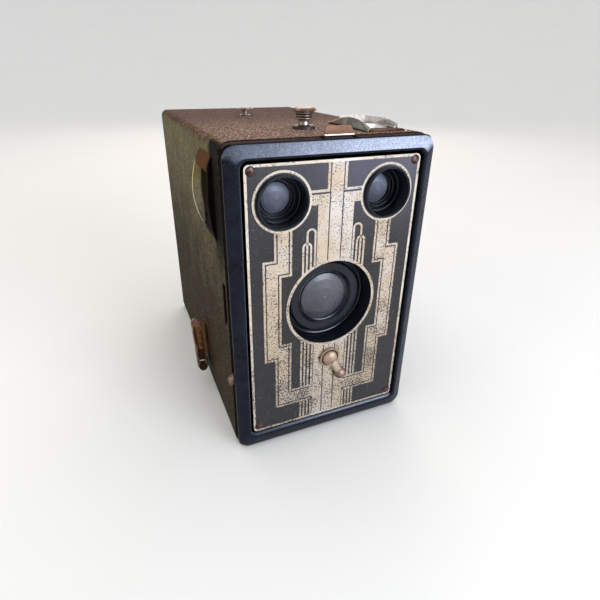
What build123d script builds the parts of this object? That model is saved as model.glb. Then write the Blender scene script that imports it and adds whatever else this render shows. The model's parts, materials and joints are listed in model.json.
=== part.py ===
from build123d import *
import os
from math import cos, pi, radians, sin

# Box camera for 2 1/2 x 4 1/4 inch pictures on 70 mm roll film, as an assembly of separate pieces.
# Millimetres. +Z is up, the lens looks along -Y, and the winding key is on the -X side.
# The origin is the centre of the case's underside.

# --- case ---------------------------------------------------------------------------------------
CASE_HALF_WIDTH = 43.6
CASE_HEIGHT = 136.6
CASE_FRONT = -72.5
CASE_BACK = 76.0
COVER = 0.4
COVER_FRONT = -68.4
COVER_TOP_FRONT = -66.3
STEEL = 1.0
CASE_CORNER = 3.5
SHELL_HALF = CASE_HALF_WIDTH - COVER
SHELL_LOW = COVER
SHELL_HIGH = CASE_HEIGHT - COVER
SHELL_BACK = CASE_BACK - COVER
INNER_HALF = SHELL_HALF - STEEL
INNER_LOW = SHELL_LOW + STEEL
INNER_HIGH = SHELL_HIGH - STEEL
INNER_BACK = SHELL_BACK - STEEL

# --- front --------------------------------------------------------------------------------------
PLATE_FRONT = -75.0
PLATE_THICK = 0.6
PLATE_HALF = 36.7
PLATE_LOW = 9.1
PLATE_HIGH = 129.6
BEZEL_FRONT = -76.0
BEZEL_BACK = CASE_FRONT - 0.4
PAN_FRONT = PLATE_FRONT + PLATE_THICK
PAN_BACK = PAN_FRONT + 0.8
LENS_Z = 69.1
FINDER_X = 22.25
FINDER_Z = 115.2
FINDER_TUBE = 10.2
WELL_RADIUS = 20.4
LEVER_X = -14.0
LEVER_Z = 42.0
CLOSEUP_Z = 41.6
CLOSEUP_REACH = LENS_Z - CLOSEUP_Z
CLOSEUP_REST = 60.0
DISC_X = 7.0
DISC_Z = 81.0

# --- inner unit ---------------------------------------------------------------------------------
CHASSIS_HALF = INNER_HALF - 1.0
CHASSIS_LOW = INNER_LOW + 1.0
CHASSIS_HIGH = INNER_HIGH - 1.0
SHEET = 0.8
CHASSIS_BACK = -53.0
SIDE_IN = 37.2
SIDE_OUT = SIDE_IN + SHEET
GATE_FRONT = 63.0
GATE_BACK = 64.0
PICTURE_HALF_WIDTH = 31.75
PICTURE_HALF_HEIGHT = 54.0
KEY_Y = -17.8
KEY_Z = 24.7
KEY_TILT = 25.0
SUPPLY_Y = -13.0
SUPPLY_Z = 2 * LENS_Z - KEY_Z
SPOOL_HALF = 36.65
ROLLER_Y = 60.5
ROLLER_DROP = 58.4
ROLLER_RADIUS = 2.6
KNOB_Y = -42.5
STUD_X = -5.0
STUD_Y = 25.5
WINDOW_Z = 32.0

# --- finder windows -----------------------------------------------------------------------------
HOOD_X = 28.0
HOOD_Y = -46.0
HOOD_HALF_WIDTH = 9.6
HOOD_HALF_LENGTH = 17.5
HOOD_RISE = 4.4
SIDE_HOOD_Y = -47.9
SIDE_HOOD_Z = 114.0
SIDE_HOOD_HALF_WIDTH = 10.8
SIDE_HOOD_HALF_LENGTH = 17.0
GLASS_HALF_WIDTH = 7.2
GLASS_HALF_LENGTH = 11.0

RUN = 0.06
os.makedirs("parts", exist_ok=True)


def save(name, shape):
    """Write one node."""
    export_step(shape, f"parts/{name}.step")


def block(x0, x1, y0, y1, z0, z1):
    """Box between two corners."""
    size = (x1 - x0, y1 - y0, z1 - z0)
    centre = ((x0 + x1) / 2, (y0 + y1) / 2, (z0 + z1) / 2)
    return Pos(*centre) * Box(*size)


def rod_x(y, z, radius, x0, x1):
    return Pos((x0 + x1) / 2, y, z) * Rot(0, 90, 0) * Cylinder(radius, x1 - x0)


def rod_y(x, z, radius, y0, y1):
    return Pos(x, (y0 + y1) / 2, z) * Rot(90, 0, 0) * Cylinder(radius, y1 - y0)


def rod_z(x, y, radius, z0, z1):
    return Pos(x, y, (z0 + z1) / 2) * Cylinder(radius, z1 - z0)


def facing_front(y):
    """Plane whose own x and y are the camera's X and Z, so that a negative amount goes back."""
    return Plane(origin=(0, y, 0), x_dir=(1, 0, 0), z_dir=(0, -1, 0))


def panel(half_width, z0, z1, corner, y0, y1):
    """Upright rounded rectangle from y0 back to y1."""
    outline = Pos(0, (z0 + z1) / 2) * RectangleRounded(2 * half_width, z1 - z0, corner)
    return extrude(facing_front(y0) * outline, amount=-(y1 - y0))


def front_profile(outline, y0, y1):
    """Sketch drawn in X and Z, given thickness from y0 back to y1."""
    return extrude(facing_front(y0) * outline, amount=-(y1 - y0))


def side_profile(outline, x0, x1):
    """Sketch drawn in Y and Z, given thickness from x0 to x1."""
    plane = Plane(origin=(x0, 0, 0), x_dir=(0, 1, 0), z_dir=(1, 0, 0))
    return extrude(plane * outline, amount=x1 - x0)


def top_profile(outline, z0, z1):
    """Sketch drawn in X and Y, given thickness from z0 to z1."""
    return extrude(Plane(origin=(0, 0, z0)) * outline, amount=z1 - z0)


def turned_y(points, x, z):
    """Turned piece: points are (radius, y), revolved round an axis along Y through x and z."""
    outline = make_face(Polyline(*[(radius, -y) for radius, y in points], close=True))
    solid = revolve(Plane.XY * outline, axis=Axis.Y, revolution_arc=360)
    return Pos(x, 0, z) * Rot(180, 0, 0) * solid


def turned_z(points, x, y):
    """Turned piece: points are (radius, z), revolved round an upright axis through x and y."""
    outline = make_face(Polyline(*points, close=True))
    return Pos(x, y, 0) * revolve(Plane.XZ * outline, axis=Axis.Z, revolution_arc=360)


def ring_y(x, z, inner, outer, y0, y1):
    return rod_y(x, z, outer, y0, y1) - rod_y(x, z, inner, y0 - 1, y1 + 1)


# --- openings that the case and its covering share ----------------------------------------------
def case_openings(margin):
    """Tab notch, screw hole, finder windows, lever notch, slide slot, key hole and ruby window."""
    m = margin
    top = CASE_HEIGHT + 1
    side = -CASE_HALF_WIDTH - 1
    cuts = [
        block(-4.9 - m, 10.4 + m, CASE_FRONT - 1, -67.2 + m, 134, top),
        rod_z(0, KNOB_Y, 2.0 + m, 134, top),
        block(HOOD_X - GLASS_HALF_WIDTH - m, HOOD_X + GLASS_HALF_WIDTH + m,
              HOOD_Y - GLASS_HALF_LENGTH - m, HOOD_Y + GLASS_HALF_LENGTH + m, 134, top),
        block(side, -41, CASE_FRONT - 1, -69.0 + m, 34.6 - m, 53 + m),
        block(side, -41, -66.4 - m, -62.2 + m, 62 - m, 81 + m),
        block(side, -41, SIDE_HOOD_Y - GLASS_HALF_WIDTH - m, SIDE_HOOD_Y + GLASS_HALF_WIDTH + m,
              SIDE_HOOD_Z - GLASS_HALF_LENGTH - m, SIDE_HOOD_Z + GLASS_HALF_LENGTH + m),
        rod_x(KEY_Y, KEY_Z, 3.0 + RUN + m, side, -41),
        rod_y(0, WINDOW_Z, 5.5 + m, INNER_BACK - 1, CASE_BACK + 1),
    ]
    return cuts


def case_shell():
    shell = panel(SHELL_HALF, SHELL_LOW, SHELL_HIGH, CASE_CORNER - COVER, CASE_FRONT, SHELL_BACK)
    shell = fillet(shell.faces().sort_by(Axis.Y)[-1].edges(), 1.2)
    hollow = panel(INNER_HALF, INNER_LOW, INNER_HIGH, 2.0, CASE_FRONT - 1, INNER_BACK)
    shell -= hollow
    for cut in case_openings(0):
        shell -= cut
    save("case_shell", shell)


def covering():
    """Imitation leather: one wrap round the top and sides, a base panel and a back panel."""
    front = COVER_FRONT
    back = SHELL_BACK - 1.4
    wrap = panel(CASE_HALF_WIDTH, 0, CASE_HEIGHT, CASE_CORNER, front, back)
    wrap -= panel(SHELL_HALF, SHELL_LOW, SHELL_HIGH, CASE_CORNER - COVER, front - 1, back + 1)
    wrap -= block(-39.9, 39.9, front - 1, back + 1, -1, 1)
    wrap -= block(-39.9, 39.9, front - 1, COVER_TOP_FRONT, SHELL_HIGH, CASE_HEIGHT + 1)
    for cut in case_openings(0.3):
        wrap -= cut
    save("leatherette_wrap", wrap)
    save("leatherette_base", block(-39.6, 39.6, front, back, 0, COVER))
    rear = panel(41.2, 2.4, CASE_HEIGHT - 2.4, 4.0, SHELL_BACK, CASE_BACK)
    save("leatherette_back", rear - rod_y(0, WINDOW_Z, 7.0, SHELL_BACK - 1, CASE_BACK + 1))


def ruby_window():
    ring = ring_y(0, WINDOW_Z, 4.8, 6.9, SHELL_BACK, CASE_BACK + 0.3)
    ring += ring_y(0, WINDOW_Z, 4.8, 5.5, INNER_BACK, SHELL_BACK)
    save("red_window_ring", ring)
    save("red_window", rod_y(0, WINDOW_Z, 7.5, INNER_BACK - 0.8, INNER_BACK))


def pressure_parts():
    """Flat plate behind the film, carried on two bowed leaf springs."""
    face = 66.8
    back = face + SHEET
    plate = panel(33.5, LENS_Z - 56, LENS_Z + 56, 2.0, face, back)
    save("pressure_plate", plate - rod_y(0, WINDOW_Z, 6.0, face - 1, back + 1))
    springs = []
    for height in (LENS_Z - 24, LENS_Z + 24):
        outer = ThreePointArc((back, height - 22), (INNER_BACK, height), (back, height + 22))
        inner = ThreePointArc((back, height - 20.8), (INNER_BACK - 0.5, height), (back, height + 20.8))
        low = Line(outer @ 0, inner @ 0)
        high = Line(outer @ 1, inner @ 1)
        springs.append(side_profile(make_face([outer, low, inner, high]), 12, 22))
    save("pressure_springs", Compound(springs))


def hood(name, half_width, half_length, place):
    """Sheet frame with a crescent wing on each long side and a sloping wall at each end.

    It is drawn flat, with its length along Y and its wings rising in Z, and then placed.
    """
    base = block(-half_width, half_width, -half_length, half_length, 0, 0.6)
    base -= block(-GLASS_HALF_WIDTH, GLASS_HALF_WIDTH, -GLASS_HALF_LENGTH, GLASS_HALF_LENGTH, -1, 2)
    chord = half_length - 0.4
    crown = ThreePointArc((-chord, 0.3), (0, HOOD_RISE), (chord, 0.3))
    wing = make_face([crown, Line(crown @ 1, crown @ 0)])
    for x in (-half_width, half_width - 0.7):
        base += side_profile(wing, x, x + 0.7)
    for end in (-1, 1):
        foot = half_length - 0.3
        slope = Polyline((end * foot, 0.3), (end * (foot - 5.6), 2.9), (end * (foot - 5.9), 2.3),
                         (end * (foot - 1.2), 0.3), close=True)
        base += side_profile(make_face(slope), -half_width, half_width)
    save(name, place * base)


def finder_glass(name, place):
    """Domed window, flat underneath."""
    plate = block(-GLASS_HALF_WIDTH + 0.1, GLASS_HALF_WIDTH - 0.1,
                  -GLASS_HALF_LENGTH + 0.1, GLASS_HALF_LENGTH - 0.1, -1.0, 1.6)
    dome_radius = 42.0
    save(name, place * (plate & Pos(0, 0, 1.6 - dome_radius) * Sphere(dome_radius)))


def finder_windows():
    top = Pos(HOOD_X, HOOD_Y, CASE_HEIGHT)
    side = Pos(-CASE_HALF_WIDTH, SIDE_HOOD_Y, SIDE_HOOD_Z) * Rot(0, -90, 0) * Rot(0, 0, 90)
    hood("top_finder_hood", HOOD_HALF_WIDTH, HOOD_HALF_LENGTH, top)
    hood("side_finder_hood", SIDE_HOOD_HALF_WIDTH, SIDE_HOOD_HALF_LENGTH, side)
    finder_glass("top_finder_glass", top)
    finder_glass("side_finder_glass", side)


def strap_stud():
    h = CASE_HEIGHT
    points = [(0, h), (3.0, h), (3.0, h + 0.2), (1.8, h + 0.4), (1.8, h + 2.9), (4.6, h + 3.1),
              (4.6, h + 3.4), (3.0, h + 3.8), (0, h + 3.9)]
    save("strap_stud", turned_z(points, STUD_X, STUD_Y))


def lock_screw():
    """Collar on the case, and the knurled knob whose foot clamps the tongue of the front unit."""
    h = CASE_HEIGHT
    collar = [(2.0, h), (4.8, h), (4.8, h + 1.1), (4.3, h + 1.4), (2.0, h + 1.4)]
    save("screw_collar", turned_z(collar, 0, KNOB_Y))
    body = [(0, 131.9), (1.8, 131.9), (1.8, h + 1.6), (2.4, h + 1.6), (2.4, h + 3.75)]
    for rib in range(3):
        low = h + 3.75 + rib * 1.05
        body += [(3.4, low), (3.9, low + 0.2), (3.9, low + 0.55), (3.4, low + 0.75), (3.1, low + 0.8),
                 (3.1, low + 1.05)]
    body += [(0, h + 6.9)]
    knob = turned_z(body, 0, KNOB_Y)
    teeth = 40
    rim = []
    for step in range(2 * teeth):
        radius = 5.15 if step % 2 == 0 else 4.85
        angle = pi * step / teeth
        rim.append((radius * cos(angle), KNOB_Y + radius * sin(angle)))
    head = top_profile(make_face(Polyline(*rim, close=True)), h + 6.9, h + 8.2)
    crown = turned_z([(0, h + 8.2), (4.7, h + 8.2), (3.8, h + 8.5), (0, h + 8.6)], 0, KNOB_Y)
    save("lock_knob", knob + head + crown)
    save("clamp_foot", rod_z(0, KNOB_Y, 4.5, 130.9, 131.9))


# --- front plate and bezel ----------------------------------------------------------------------
def front_holes(extra):
    """Holes through the front plate and the pan, for the finders, the lens and the lever shaft."""
    holes = [rod_y(0, CLOSEUP_Z, 1.5 + RUN + extra, -80, -70)]
    for side in (-1, 1):
        holes.append(rod_y(side * FINDER_X, FINDER_Z, FINDER_TUBE + RUN, -80, -70))
        for height in (PLATE_LOW + 3.0, PLATE_HIGH - 2.3):
            holes.append(rod_y(side * 34.2, height, 0.7, -80, -70))
    return holes


def bezel():
    """Pressed frame with a rounded front edge and a flat pan behind the plate."""
    frame = panel(CASE_HALF_WIDTH, 0.3, 136.4, 5.5, BEZEL_FRONT, BEZEL_BACK)
    frame = fillet(frame.faces().sort_by(Axis.Y)[0].edges(), 2.4)
    frame -= panel(PLATE_HALF + 1.2, PLATE_LOW - 1.2, PLATE_HIGH + 1.2, 3.0, BEZEL_FRONT - 1, PAN_FRONT)
    frame -= panel(CASE_HALF_WIDTH - 1.2, 1.5, 135.2, 4.3, PAN_BACK, BEZEL_BACK + 1)
    frame -= rod_y(0, LENS_Z, WELL_RADIUS, -80, -70)
    for hole in front_holes(0):
        frame -= hole
    save("bezel", frame)


def deco_plate():
    plate = panel(PLATE_HALF, PLATE_LOW, PLATE_HIGH, 2.2, PLATE_FRONT, PAN_FRONT)
    plate -= rod_y(0, LENS_Z, WELL_RADIUS - 0.8, -80, -70)
    for hole in front_holes(0):
        plate -= hole
    save("deco_plate", plate)
    pins = []
    for side in (-1, 1):
        for height in (PLATE_LOW + 3.0, PLATE_HIGH - 2.3):
            head = [(0, -75.7), (0.9, -75.6), (1.5, -75.2), (1.5, -75.0), (0.7, -75.0), (0.7, PAN_BACK),
                    (0, PAN_BACK)]
            pins.append(turned_y(head, side * 34.2, height))
    save("plate_pins", Compound(pins))


def finder_fronts():
    """Eyelet tube with an inner shoulder, and a domed lens behind the shoulder."""
    back = -66.7
    tube = [(FINDER_TUBE, back), (FINDER_TUBE, -76.6), (9.9, -77.0), (9.6, -77.0), (9.3, -76.6),
            (9.3, -67.5), (6.0, -67.5), (6.0, back)]
    lens = [(0, -68.3), (2.8, -68.0), (4.6, -67.4), (5.8, -66.7), (7.2, -66.7), (7.2, -65.2), (0, -65.2)]
    for name, side in (("left", -1), ("right", 1)):
        save(f"finder_tube_{name}", turned_y(tube, side * FINDER_X, FINDER_Z))
        save(f"finder_lens_{name}", turned_y(lens, side * FINDER_X, FINDER_Z))


def finder_boxes():
    """Sheet chambers with a mirror at 45 degrees, to the side on the left and upwards on the right."""
    wall = 0.6
    front = -64.2
    left = block(-40.2, -10.4, front, -35.6, 102.0, 128.4)
    left -= block(-42, -10.4 - wall, front - 1, -35.6 - wall, 102.0 + wall, 128.4 - wall)
    save("finder_box_left", left)
    right = block(11.5, 38.8, front, -31.0, 101.4, 133.2)
    right -= block(11.5 + wall, 38.8 - wall, front - 1, -31.0 - wall, 101.4 + wall, 135)
    save("finder_box_right", right)
    mirror_left = Pos(-23.4, -49.4, FINDER_Z) * Rot(0, 0, -45) * Box(30, 1.0, 22)
    save("finder_mirror_left", mirror_left)
    mirror_right = Pos(25.15, -46.9, 116.4) * Rot(45, 0, 0) * Box(24, 34, 1.0)
    save("finder_mirror_right", mirror_right)


def lens_parts():
    well = [(19.7, PAN_FRONT), (WELL_RADIUS, PAN_FRONT), (WELL_RADIUS, -65.2), (12.0, -65.2),
            (12.0, -66.0), (19.7, -66.0)]
    save("lens_well", turned_y(well, 0, LENS_Z))
    ring = [(12.3, -66.0), (12.3, -68.2), (13.0, -69.0), (16.1, -69.0), (16.9, -68.2), (16.9, -66.0)]
    save("lens_ring", turned_y(ring, 0, LENS_Z))
    lens = [(0, -68.4), (4.0, -68.15), (8.0, -67.4), (10.8, -66.5), (11.9, -66.4), (11.9, -65.4),
            (0, -65.4)]
    save("main_lens", turned_y(lens, 0, LENS_Z))


def closeup_parts():
    """Lever outside, shaft and arm inside, and the close-up lens that the arm carries."""
    tilt = radians(30)
    reach = 11.2
    end = (reach * sin(tilt), CLOSEUP_Z - reach * cos(tilt))
    pivot = [(0, -78.0), (1.8, -77.8), (3.2, -77.1), (3.6, -76.2), (4.9, -76.1), (4.9, -75.4), (0, -75.4)]
    lever = turned_y(pivot, 0, CLOSEUP_Z)
    middle = (end[0] / 2, (CLOSEUP_Z + end[1]) / 2)
    arm = Pos(middle[0], -76.0, middle[1]) * Rot(0, 60, 0) * Box(reach, 1.1, 3.5)
    ball = [(0, -79.0), (1.4, -78.8), (2.5, -78.0), (2.9, -76.9), (2.5, -75.9), (1.7, -75.4), (0, -75.4)]
    lever += arm
    lever += turned_y(ball, *end)
    save("closeup_lever", lever)
    turn = radians(CLOSEUP_REST)
    centre = (-CLOSEUP_REACH * sin(turn), CLOSEUP_Z + CLOSEUP_REACH * cos(turn))
    holder = rod_y(0, CLOSEUP_Z, 1.5, -75.4, -62.6)
    half_way = 0.36
    bar = Pos(centre[0] * half_way, -63.0, CLOSEUP_Z + (centre[1] - CLOSEUP_Z) * half_way)
    holder += bar * Rot(0, 90 - CLOSEUP_REST, 0) * Box(16, SHEET, 5)
    holder += rod_y(0, CLOSEUP_Z, 3.6, -63.4, -62.6)
    holder += rod_y(*centre, 12.0, -63.4, -62.6)
    holder -= rod_y(*centre, 10.0, -64, -62)
    save("closeup_arm", holder)
    glass = [(0, -64.2), (5.0, -64.0), (9.9, -63.4), (9.9, -62.6), (0, -62.6)]
    save("closeup_lens", turned_y(glass, *centre))


# --- mechanism in the front chassis -------------------------------------------------------------
def front_chassis():
    """Sheet tray behind the bezel, with a partition that carries the cone."""
    tray = panel(CHASSIS_HALF, CHASSIS_LOW, CHASSIS_HIGH, 2.0, PAN_BACK, CHASSIS_BACK)
    tray -= panel(CHASSIS_HALF - SHEET, CHASSIS_LOW + SHEET, CHASSIS_HIGH - SHEET, 1.4, PAN_BACK - 1,
                  CHASSIS_BACK + 1)
    partition = panel(CHASSIS_HALF, CHASSIS_LOW, 99.4, 2.0, CHASSIS_BACK - SHEET, CHASSIS_BACK)
    tray += partition - block(-9.6, 9.6, -60, -50, LENS_Z - 13.6, LENS_Z + 13.6)
    side = -CHASSIS_HALF - 1
    tray -= block(side, -40, -72.4, -69.8, 33.6, 54)
    tray -= block(side, -40, -66.0, -62.6, 64.4, 77.6)
    tray -= block(side, -40, -60, -52, 99.5, 125)
    tray -= block(HOOD_X - 9, 37.6, -60.5, -52, 133, 136)
    tray -= block(-4.6, 10.1, -69.4, -67.0, 133, 136)
    save("front_chassis", tray)


def shutter_parts():
    plate = panel(29.5, 46, 99, 2.0, -60.2, -59.4)
    save("shutter_plate", plate - rod_y(0, LENS_Z, 5.0, -61, -59))
    posts = []
    for x in (-27, 27):
        for z in (49, 96):
            posts.append(rod_y(x, z, 1.2, -59.4, CHASSIS_BACK - SHEET))
    posts.append(rod_y(DISC_X, DISC_Z, 1.5, -59.4, -57.9) + rod_y(DISC_X, DISC_Z, 2.6, -57.9, -57.3))
    posts.append(rod_y(LEVER_X, LEVER_Z, 1.5, PAN_BACK, -67.6) + rod_y(LEVER_X, LEVER_Z, 2.6, -67.6, -67.0))
    save("shutter_posts", Compound(posts))
    disc = rod_y(DISC_X, DISC_Z, 18.0, -58.9, -58.3)
    disc -= rod_y(DISC_X, DISC_Z, 1.5 + RUN, -60, -57)
    arm = (-DISC_X, LENS_Z - DISC_Z)
    turn = radians(31)
    # The hole lies 31 degrees short of the lens axis, so that it passes the axis half way.
    hole_x = DISC_X + arm[0] * cos(turn) - arm[1] * sin(turn)
    hole_z = DISC_Z + arm[0] * sin(turn) + arm[1] * cos(turn)
    disc -= rod_y(hole_x, hole_z, 3.6, -60, -57)
    save("shutter_disc", disc)
    coil = Helix(pitch=0.85, height=2.1, radius=2.6)
    wire = sweep(Plane(origin=coil @ 0, z_dir=coil % 0) * Circle(0.3), path=coil, is_frenet=True)
    save("shutter_spring", Pos(LEVER_X, -68.0, LEVER_Z) * Rot(90, 0, 0) * wire)


def shutter_lever():
    """Flat lever on its post, with a fan-shaped finger tab outside the case."""
    drop = 5.0
    y0 = -71.6
    y1 = -70.6
    hub = rod_y(0, 0, 4.0, y0, y1)
    hub += block(-31.0, 0, y0, y1, -2.2, 2.2)
    hub += front_profile(make_face(Polyline((-29.8, -2.2), (-32.0, -3.0), (-32.4, 0.4), (-29.8, 2.2),
                                            close=True)), y0 - 0.5, y1)
    hub += block(0, 9.0, y0, y1, -2.0, 2.0)
    hub -= rod_y(0, 0, 1.5 + RUN, -72, -66)
    turned = Pos(LEVER_X, 0, LEVER_Z) * Rot(0, -drop, 0) * hub
    save("shutter_lever", turned)


def slides():
    """Aperture slide with its pull-up tab, and the time-exposure slide in the side."""
    strip = block(-6.0, 6.0, -61.4, -60.8, 52, 97.2)
    strip -= rod_y(0, LENS_Z, 3.3, -62, -60)
    strip -= rod_y(0, LENS_Z - 8.0, 2.0, -62, -60)
    strip += block(-6.0, 9.1, -68.3, -60.8, 96.6, 97.2)
    strip += block(-2.9, 9.1, -68.3, -67.7, 96.6, 137.0)
    bent = Polyline((-68.3, 136.3), (-68.7, 136.8), (-68.5, 137.4), (-69.0, 140.2), (-68.4, 140.4),
                    (-67.7, 136.3), close=True)
    grip = side_profile(make_face(bent), -2.9, 9.5)
    outline = Polyline((-2.9, 136), (9.5, 136), (9.5, 137.8), (7.3, 140.4), (-2.2, 140.4), (-2.9, 139.6),
                       close=True)
    strip += grip & front_profile(make_face(outline), -72, -66)
    save("aperture_slide", strip)
    pull = block(-41.8, -24.0, -65.2, -64.6, 65.2, 76.8)
    pull -= rod_y(-38.6, 71.0, 1.6, -68, -64)
    pull += block(-41.8, -41.2, -65.2, -63.2, 65.2, 76.8)
    save("time_slide", pull)


# --- inner film carrier -------------------------------------------------------------------------
def lock_tongue():
    tongue = block(-7, 7, -66, -34, 132.6, 133.4)
    tongue -= block(-2.2, 2.2, KNOB_Y, -33, 132, 134)
    tongue -= rod_z(0, KNOB_Y, 2.2, 132, 134)
    save("lock_tongue", tongue)


def cone():
    """Tapered chamber from the partition to the film gate."""
    def shape(trim, front, back):
        small = Plane(origin=(0, front, LENS_Z), x_dir=(1, 0, 0), z_dir=(0, -1, 0))
        large = Plane(origin=(0, back, LENS_Z), x_dir=(1, 0, 0), z_dir=(0, -1, 0))
        return loft([small * Rectangle(20.8 - trim, 28.8 - trim),
                     large * Rectangle(65.2 - trim, 109.8 - trim)], ruled=True)
    save("camera_cone", shape(0, CHASSIS_BACK, GATE_FRONT) - shape(1.6, CHASSIS_BACK, GATE_FRONT))


def carrier_sides():
    """Side plates of the film carrier, cut away at the top front for the finder boxes."""
    outline = make_face(Polyline((CHASSIS_BACK, 4), (65, 4), (65, 133), (-29.5, 133), (-29.5, 99),
                                 (CHASSIS_BACK, 99), close=True))
    for name, side in (("left", -1), ("right", 1)):
        x0, x1 = sorted((side * SIDE_IN, side * SIDE_OUT))
        plate = side_profile(outline, x0, x1)
        for z in (LENS_Z - ROLLER_DROP, LENS_Z + ROLLER_DROP):
            plate -= rod_x(ROLLER_Y, z, 1.0 + RUN, x0 - 1, x1 + 1)
        plate -= rod_x(SUPPLY_Y, SUPPLY_Z, 1.6, x0 - 1, x1 + 1)
        spool_hole = 4.4 + RUN if side < 0 else 1.6
        plate -= rod_x(KEY_Y, KEY_Z, spool_hole, x0 - 1, x1 + 1)
        save(f"carrier_side_{name}", plate)


def film_gate():
    gate = block(-SIDE_IN, SIDE_IN, GATE_FRONT, GATE_BACK, 13.8, 2 * LENS_Z - 13.8)
    gate -= block(-PICTURE_HALF_WIDTH, PICTURE_HALF_WIDTH, GATE_FRONT - 1, GATE_BACK + 1,
                  LENS_Z - PICTURE_HALF_HEIGHT, LENS_Z + PICTURE_HALF_HEIGHT)
    for x in (-35.6, 34.4):
        gate += block(x, x + 1.2, GATE_BACK, GATE_BACK + 0.8, 13.8, 2 * LENS_Z - 13.8)
    save("film_gate", gate)


def rollers():
    for name, z in (("bottom", LENS_Z - ROLLER_DROP), ("top", LENS_Z + ROLLER_DROP)):
        roller = rod_x(ROLLER_Y, z, ROLLER_RADIUS, -36.8, 36.8)
        roller += rod_x(ROLLER_Y, z, 1.0, -37.9, 37.9)
        save(f"film_roller_{name}", roller)


def spool_parts():
    """Empty take-up spool, the dog that drives it, and the centring pins."""
    spool = rod_x(KEY_Y, KEY_Z, 4.2, -SPOOL_HALF, SPOOL_HALF)
    for x in (-SPOOL_HALF, SPOOL_HALF - 0.7):
        spool += rod_x(KEY_Y, KEY_Z, 12.0, x, x + 0.7)
    spool -= block(-SPOOL_HALF - 1, -SPOOL_HALF + 3.2, KEY_Y - 3.0, KEY_Y + 3.0, KEY_Z - 0.8, KEY_Z + 0.8)
    spool -= rod_x(KEY_Y, KEY_Z, 1.6 + RUN, SPOOL_HALF - 3.4, SPOOL_HALF + 1)
    spool -= block(-20, 20, KEY_Y - 0.5, KEY_Y + 0.5, KEY_Z - 9, KEY_Z + 9)
    save("takeup_spool", spool)
    dog = rod_x(KEY_Y, KEY_Z, 4.4, -41.2, -SPOOL_HALF - 0.2)
    dog += block(-SPOOL_HALF - 0.3, -SPOOL_HALF + 2.4, KEY_Y - 2.8, KEY_Y + 2.8, KEY_Z - 0.7, KEY_Z + 0.7)
    dog -= block(-42, -38.4, KEY_Y - 6, KEY_Y + 6, KEY_Z - 1.05, KEY_Z + 1.05)
    save("drive_dog", dog)
    pins = [rod_x(KEY_Y, KEY_Z, 1.6, 34.0, SIDE_OUT) + rod_x(KEY_Y, KEY_Z, 3.2, SIDE_OUT, 38.8)]
    pins.append(rod_x(SUPPLY_Y, SUPPLY_Z, 1.6, 34.8, SIDE_OUT)
                + rod_x(SUPPLY_Y, SUPPLY_Z, 3.2, SIDE_OUT, 38.8))
    pins.append(rod_x(SUPPLY_Y, SUPPLY_Z, 1.6, -SIDE_OUT, -34.8)
                + rod_x(SUPPLY_Y, SUPPLY_Z, 3.2, -38.8, -SIDE_OUT))
    save("spool_pins", Compound(pins))


# --- winding key --------------------------------------------------------------------------------
def winding_key():
    """Escutcheon with a boss, a sleeve that slides in it, and the key that turns in the sleeve."""
    face = -CASE_HALF_WIDTH
    outline = Pos(KEY_Y, KEY_Z) * Rot(0, 0, 90) * SlotOverall(28.8, 13.0)
    plate = side_profile(outline, face - 0.8, face)
    plate += rod_x(KEY_Y, KEY_Z, 4.6, face - 2.4, face - 0.8)
    plate -= rod_x(KEY_Y, KEY_Z, 3.0 + RUN, face - 3, face + 1)
    save("key_escutcheon", plate)
    sleeve = rod_x(KEY_Y, KEY_Z, 3.0, -46.4, -41.8)
    save("key_sleeve", sleeve - rod_x(KEY_Y, KEY_Z, 2.2 + RUN, -47, -41))
    half = 11.9
    wide = 3.0
    wing = block(-51.1, -50.2, -wide, wide, -half, half)
    wing += block(-47.4, -46.5, -wide, wide, -half, half)
    wing += block(-50.0, -47.4, -wide + 0.3, wide - 0.3, -2.6, half)
    for end in (-1, 1):
        wing += rod_y(-48.8, end * half, 2.35, -wide, wide)
    wing = Pos(0, KEY_Y, KEY_Z) * Rot(-KEY_TILT, 0, 0) * wing
    wing -= rod_x(KEY_Y, KEY_Z, 2.2, -48.4, -46)
    wing -= rod_x(KEY_Y, KEY_Z, 3.0, -48.4, -47.4)
    save("winding_key", wing)
    shaft = rod_x(KEY_Y, KEY_Z, 2.2, -47.4, -41.5) + rod_x(KEY_Y, KEY_Z, 3.0, -48.4, -47.4)
    shaft += block(-41.5, -38.7, KEY_Y - 2.8, KEY_Y + 2.8, KEY_Z - 0.75, KEY_Z + 0.75)
    save("key_shaft", shaft)


for make in (case_shell, covering, ruby_window, pressure_parts, finder_windows, strap_stud, lock_screw,
             bezel, deco_plate, finder_fronts, finder_boxes, lens_parts, closeup_parts, front_chassis,
             shutter_parts, shutter_lever, slides, lock_tongue, cone, carrier_sides, film_gate, rollers,
             spool_parts, winding_key):
    make()
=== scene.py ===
import json
from math import cos, pi, radians, sin, sqrt

import bmesh
import bpy
from mathutils import Matrix, Vector


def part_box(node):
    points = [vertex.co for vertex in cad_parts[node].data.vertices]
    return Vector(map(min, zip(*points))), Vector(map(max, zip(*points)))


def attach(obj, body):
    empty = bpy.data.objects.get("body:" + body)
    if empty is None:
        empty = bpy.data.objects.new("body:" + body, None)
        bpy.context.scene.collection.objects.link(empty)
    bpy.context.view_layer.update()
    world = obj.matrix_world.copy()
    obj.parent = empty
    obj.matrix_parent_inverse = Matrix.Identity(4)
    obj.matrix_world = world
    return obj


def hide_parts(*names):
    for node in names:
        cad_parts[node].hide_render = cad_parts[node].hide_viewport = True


# A 1930s metal box camera. Lengths in this script are written in millimetres and turned into
# metres by MM. Places come from the CAD frame's boxes.

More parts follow.
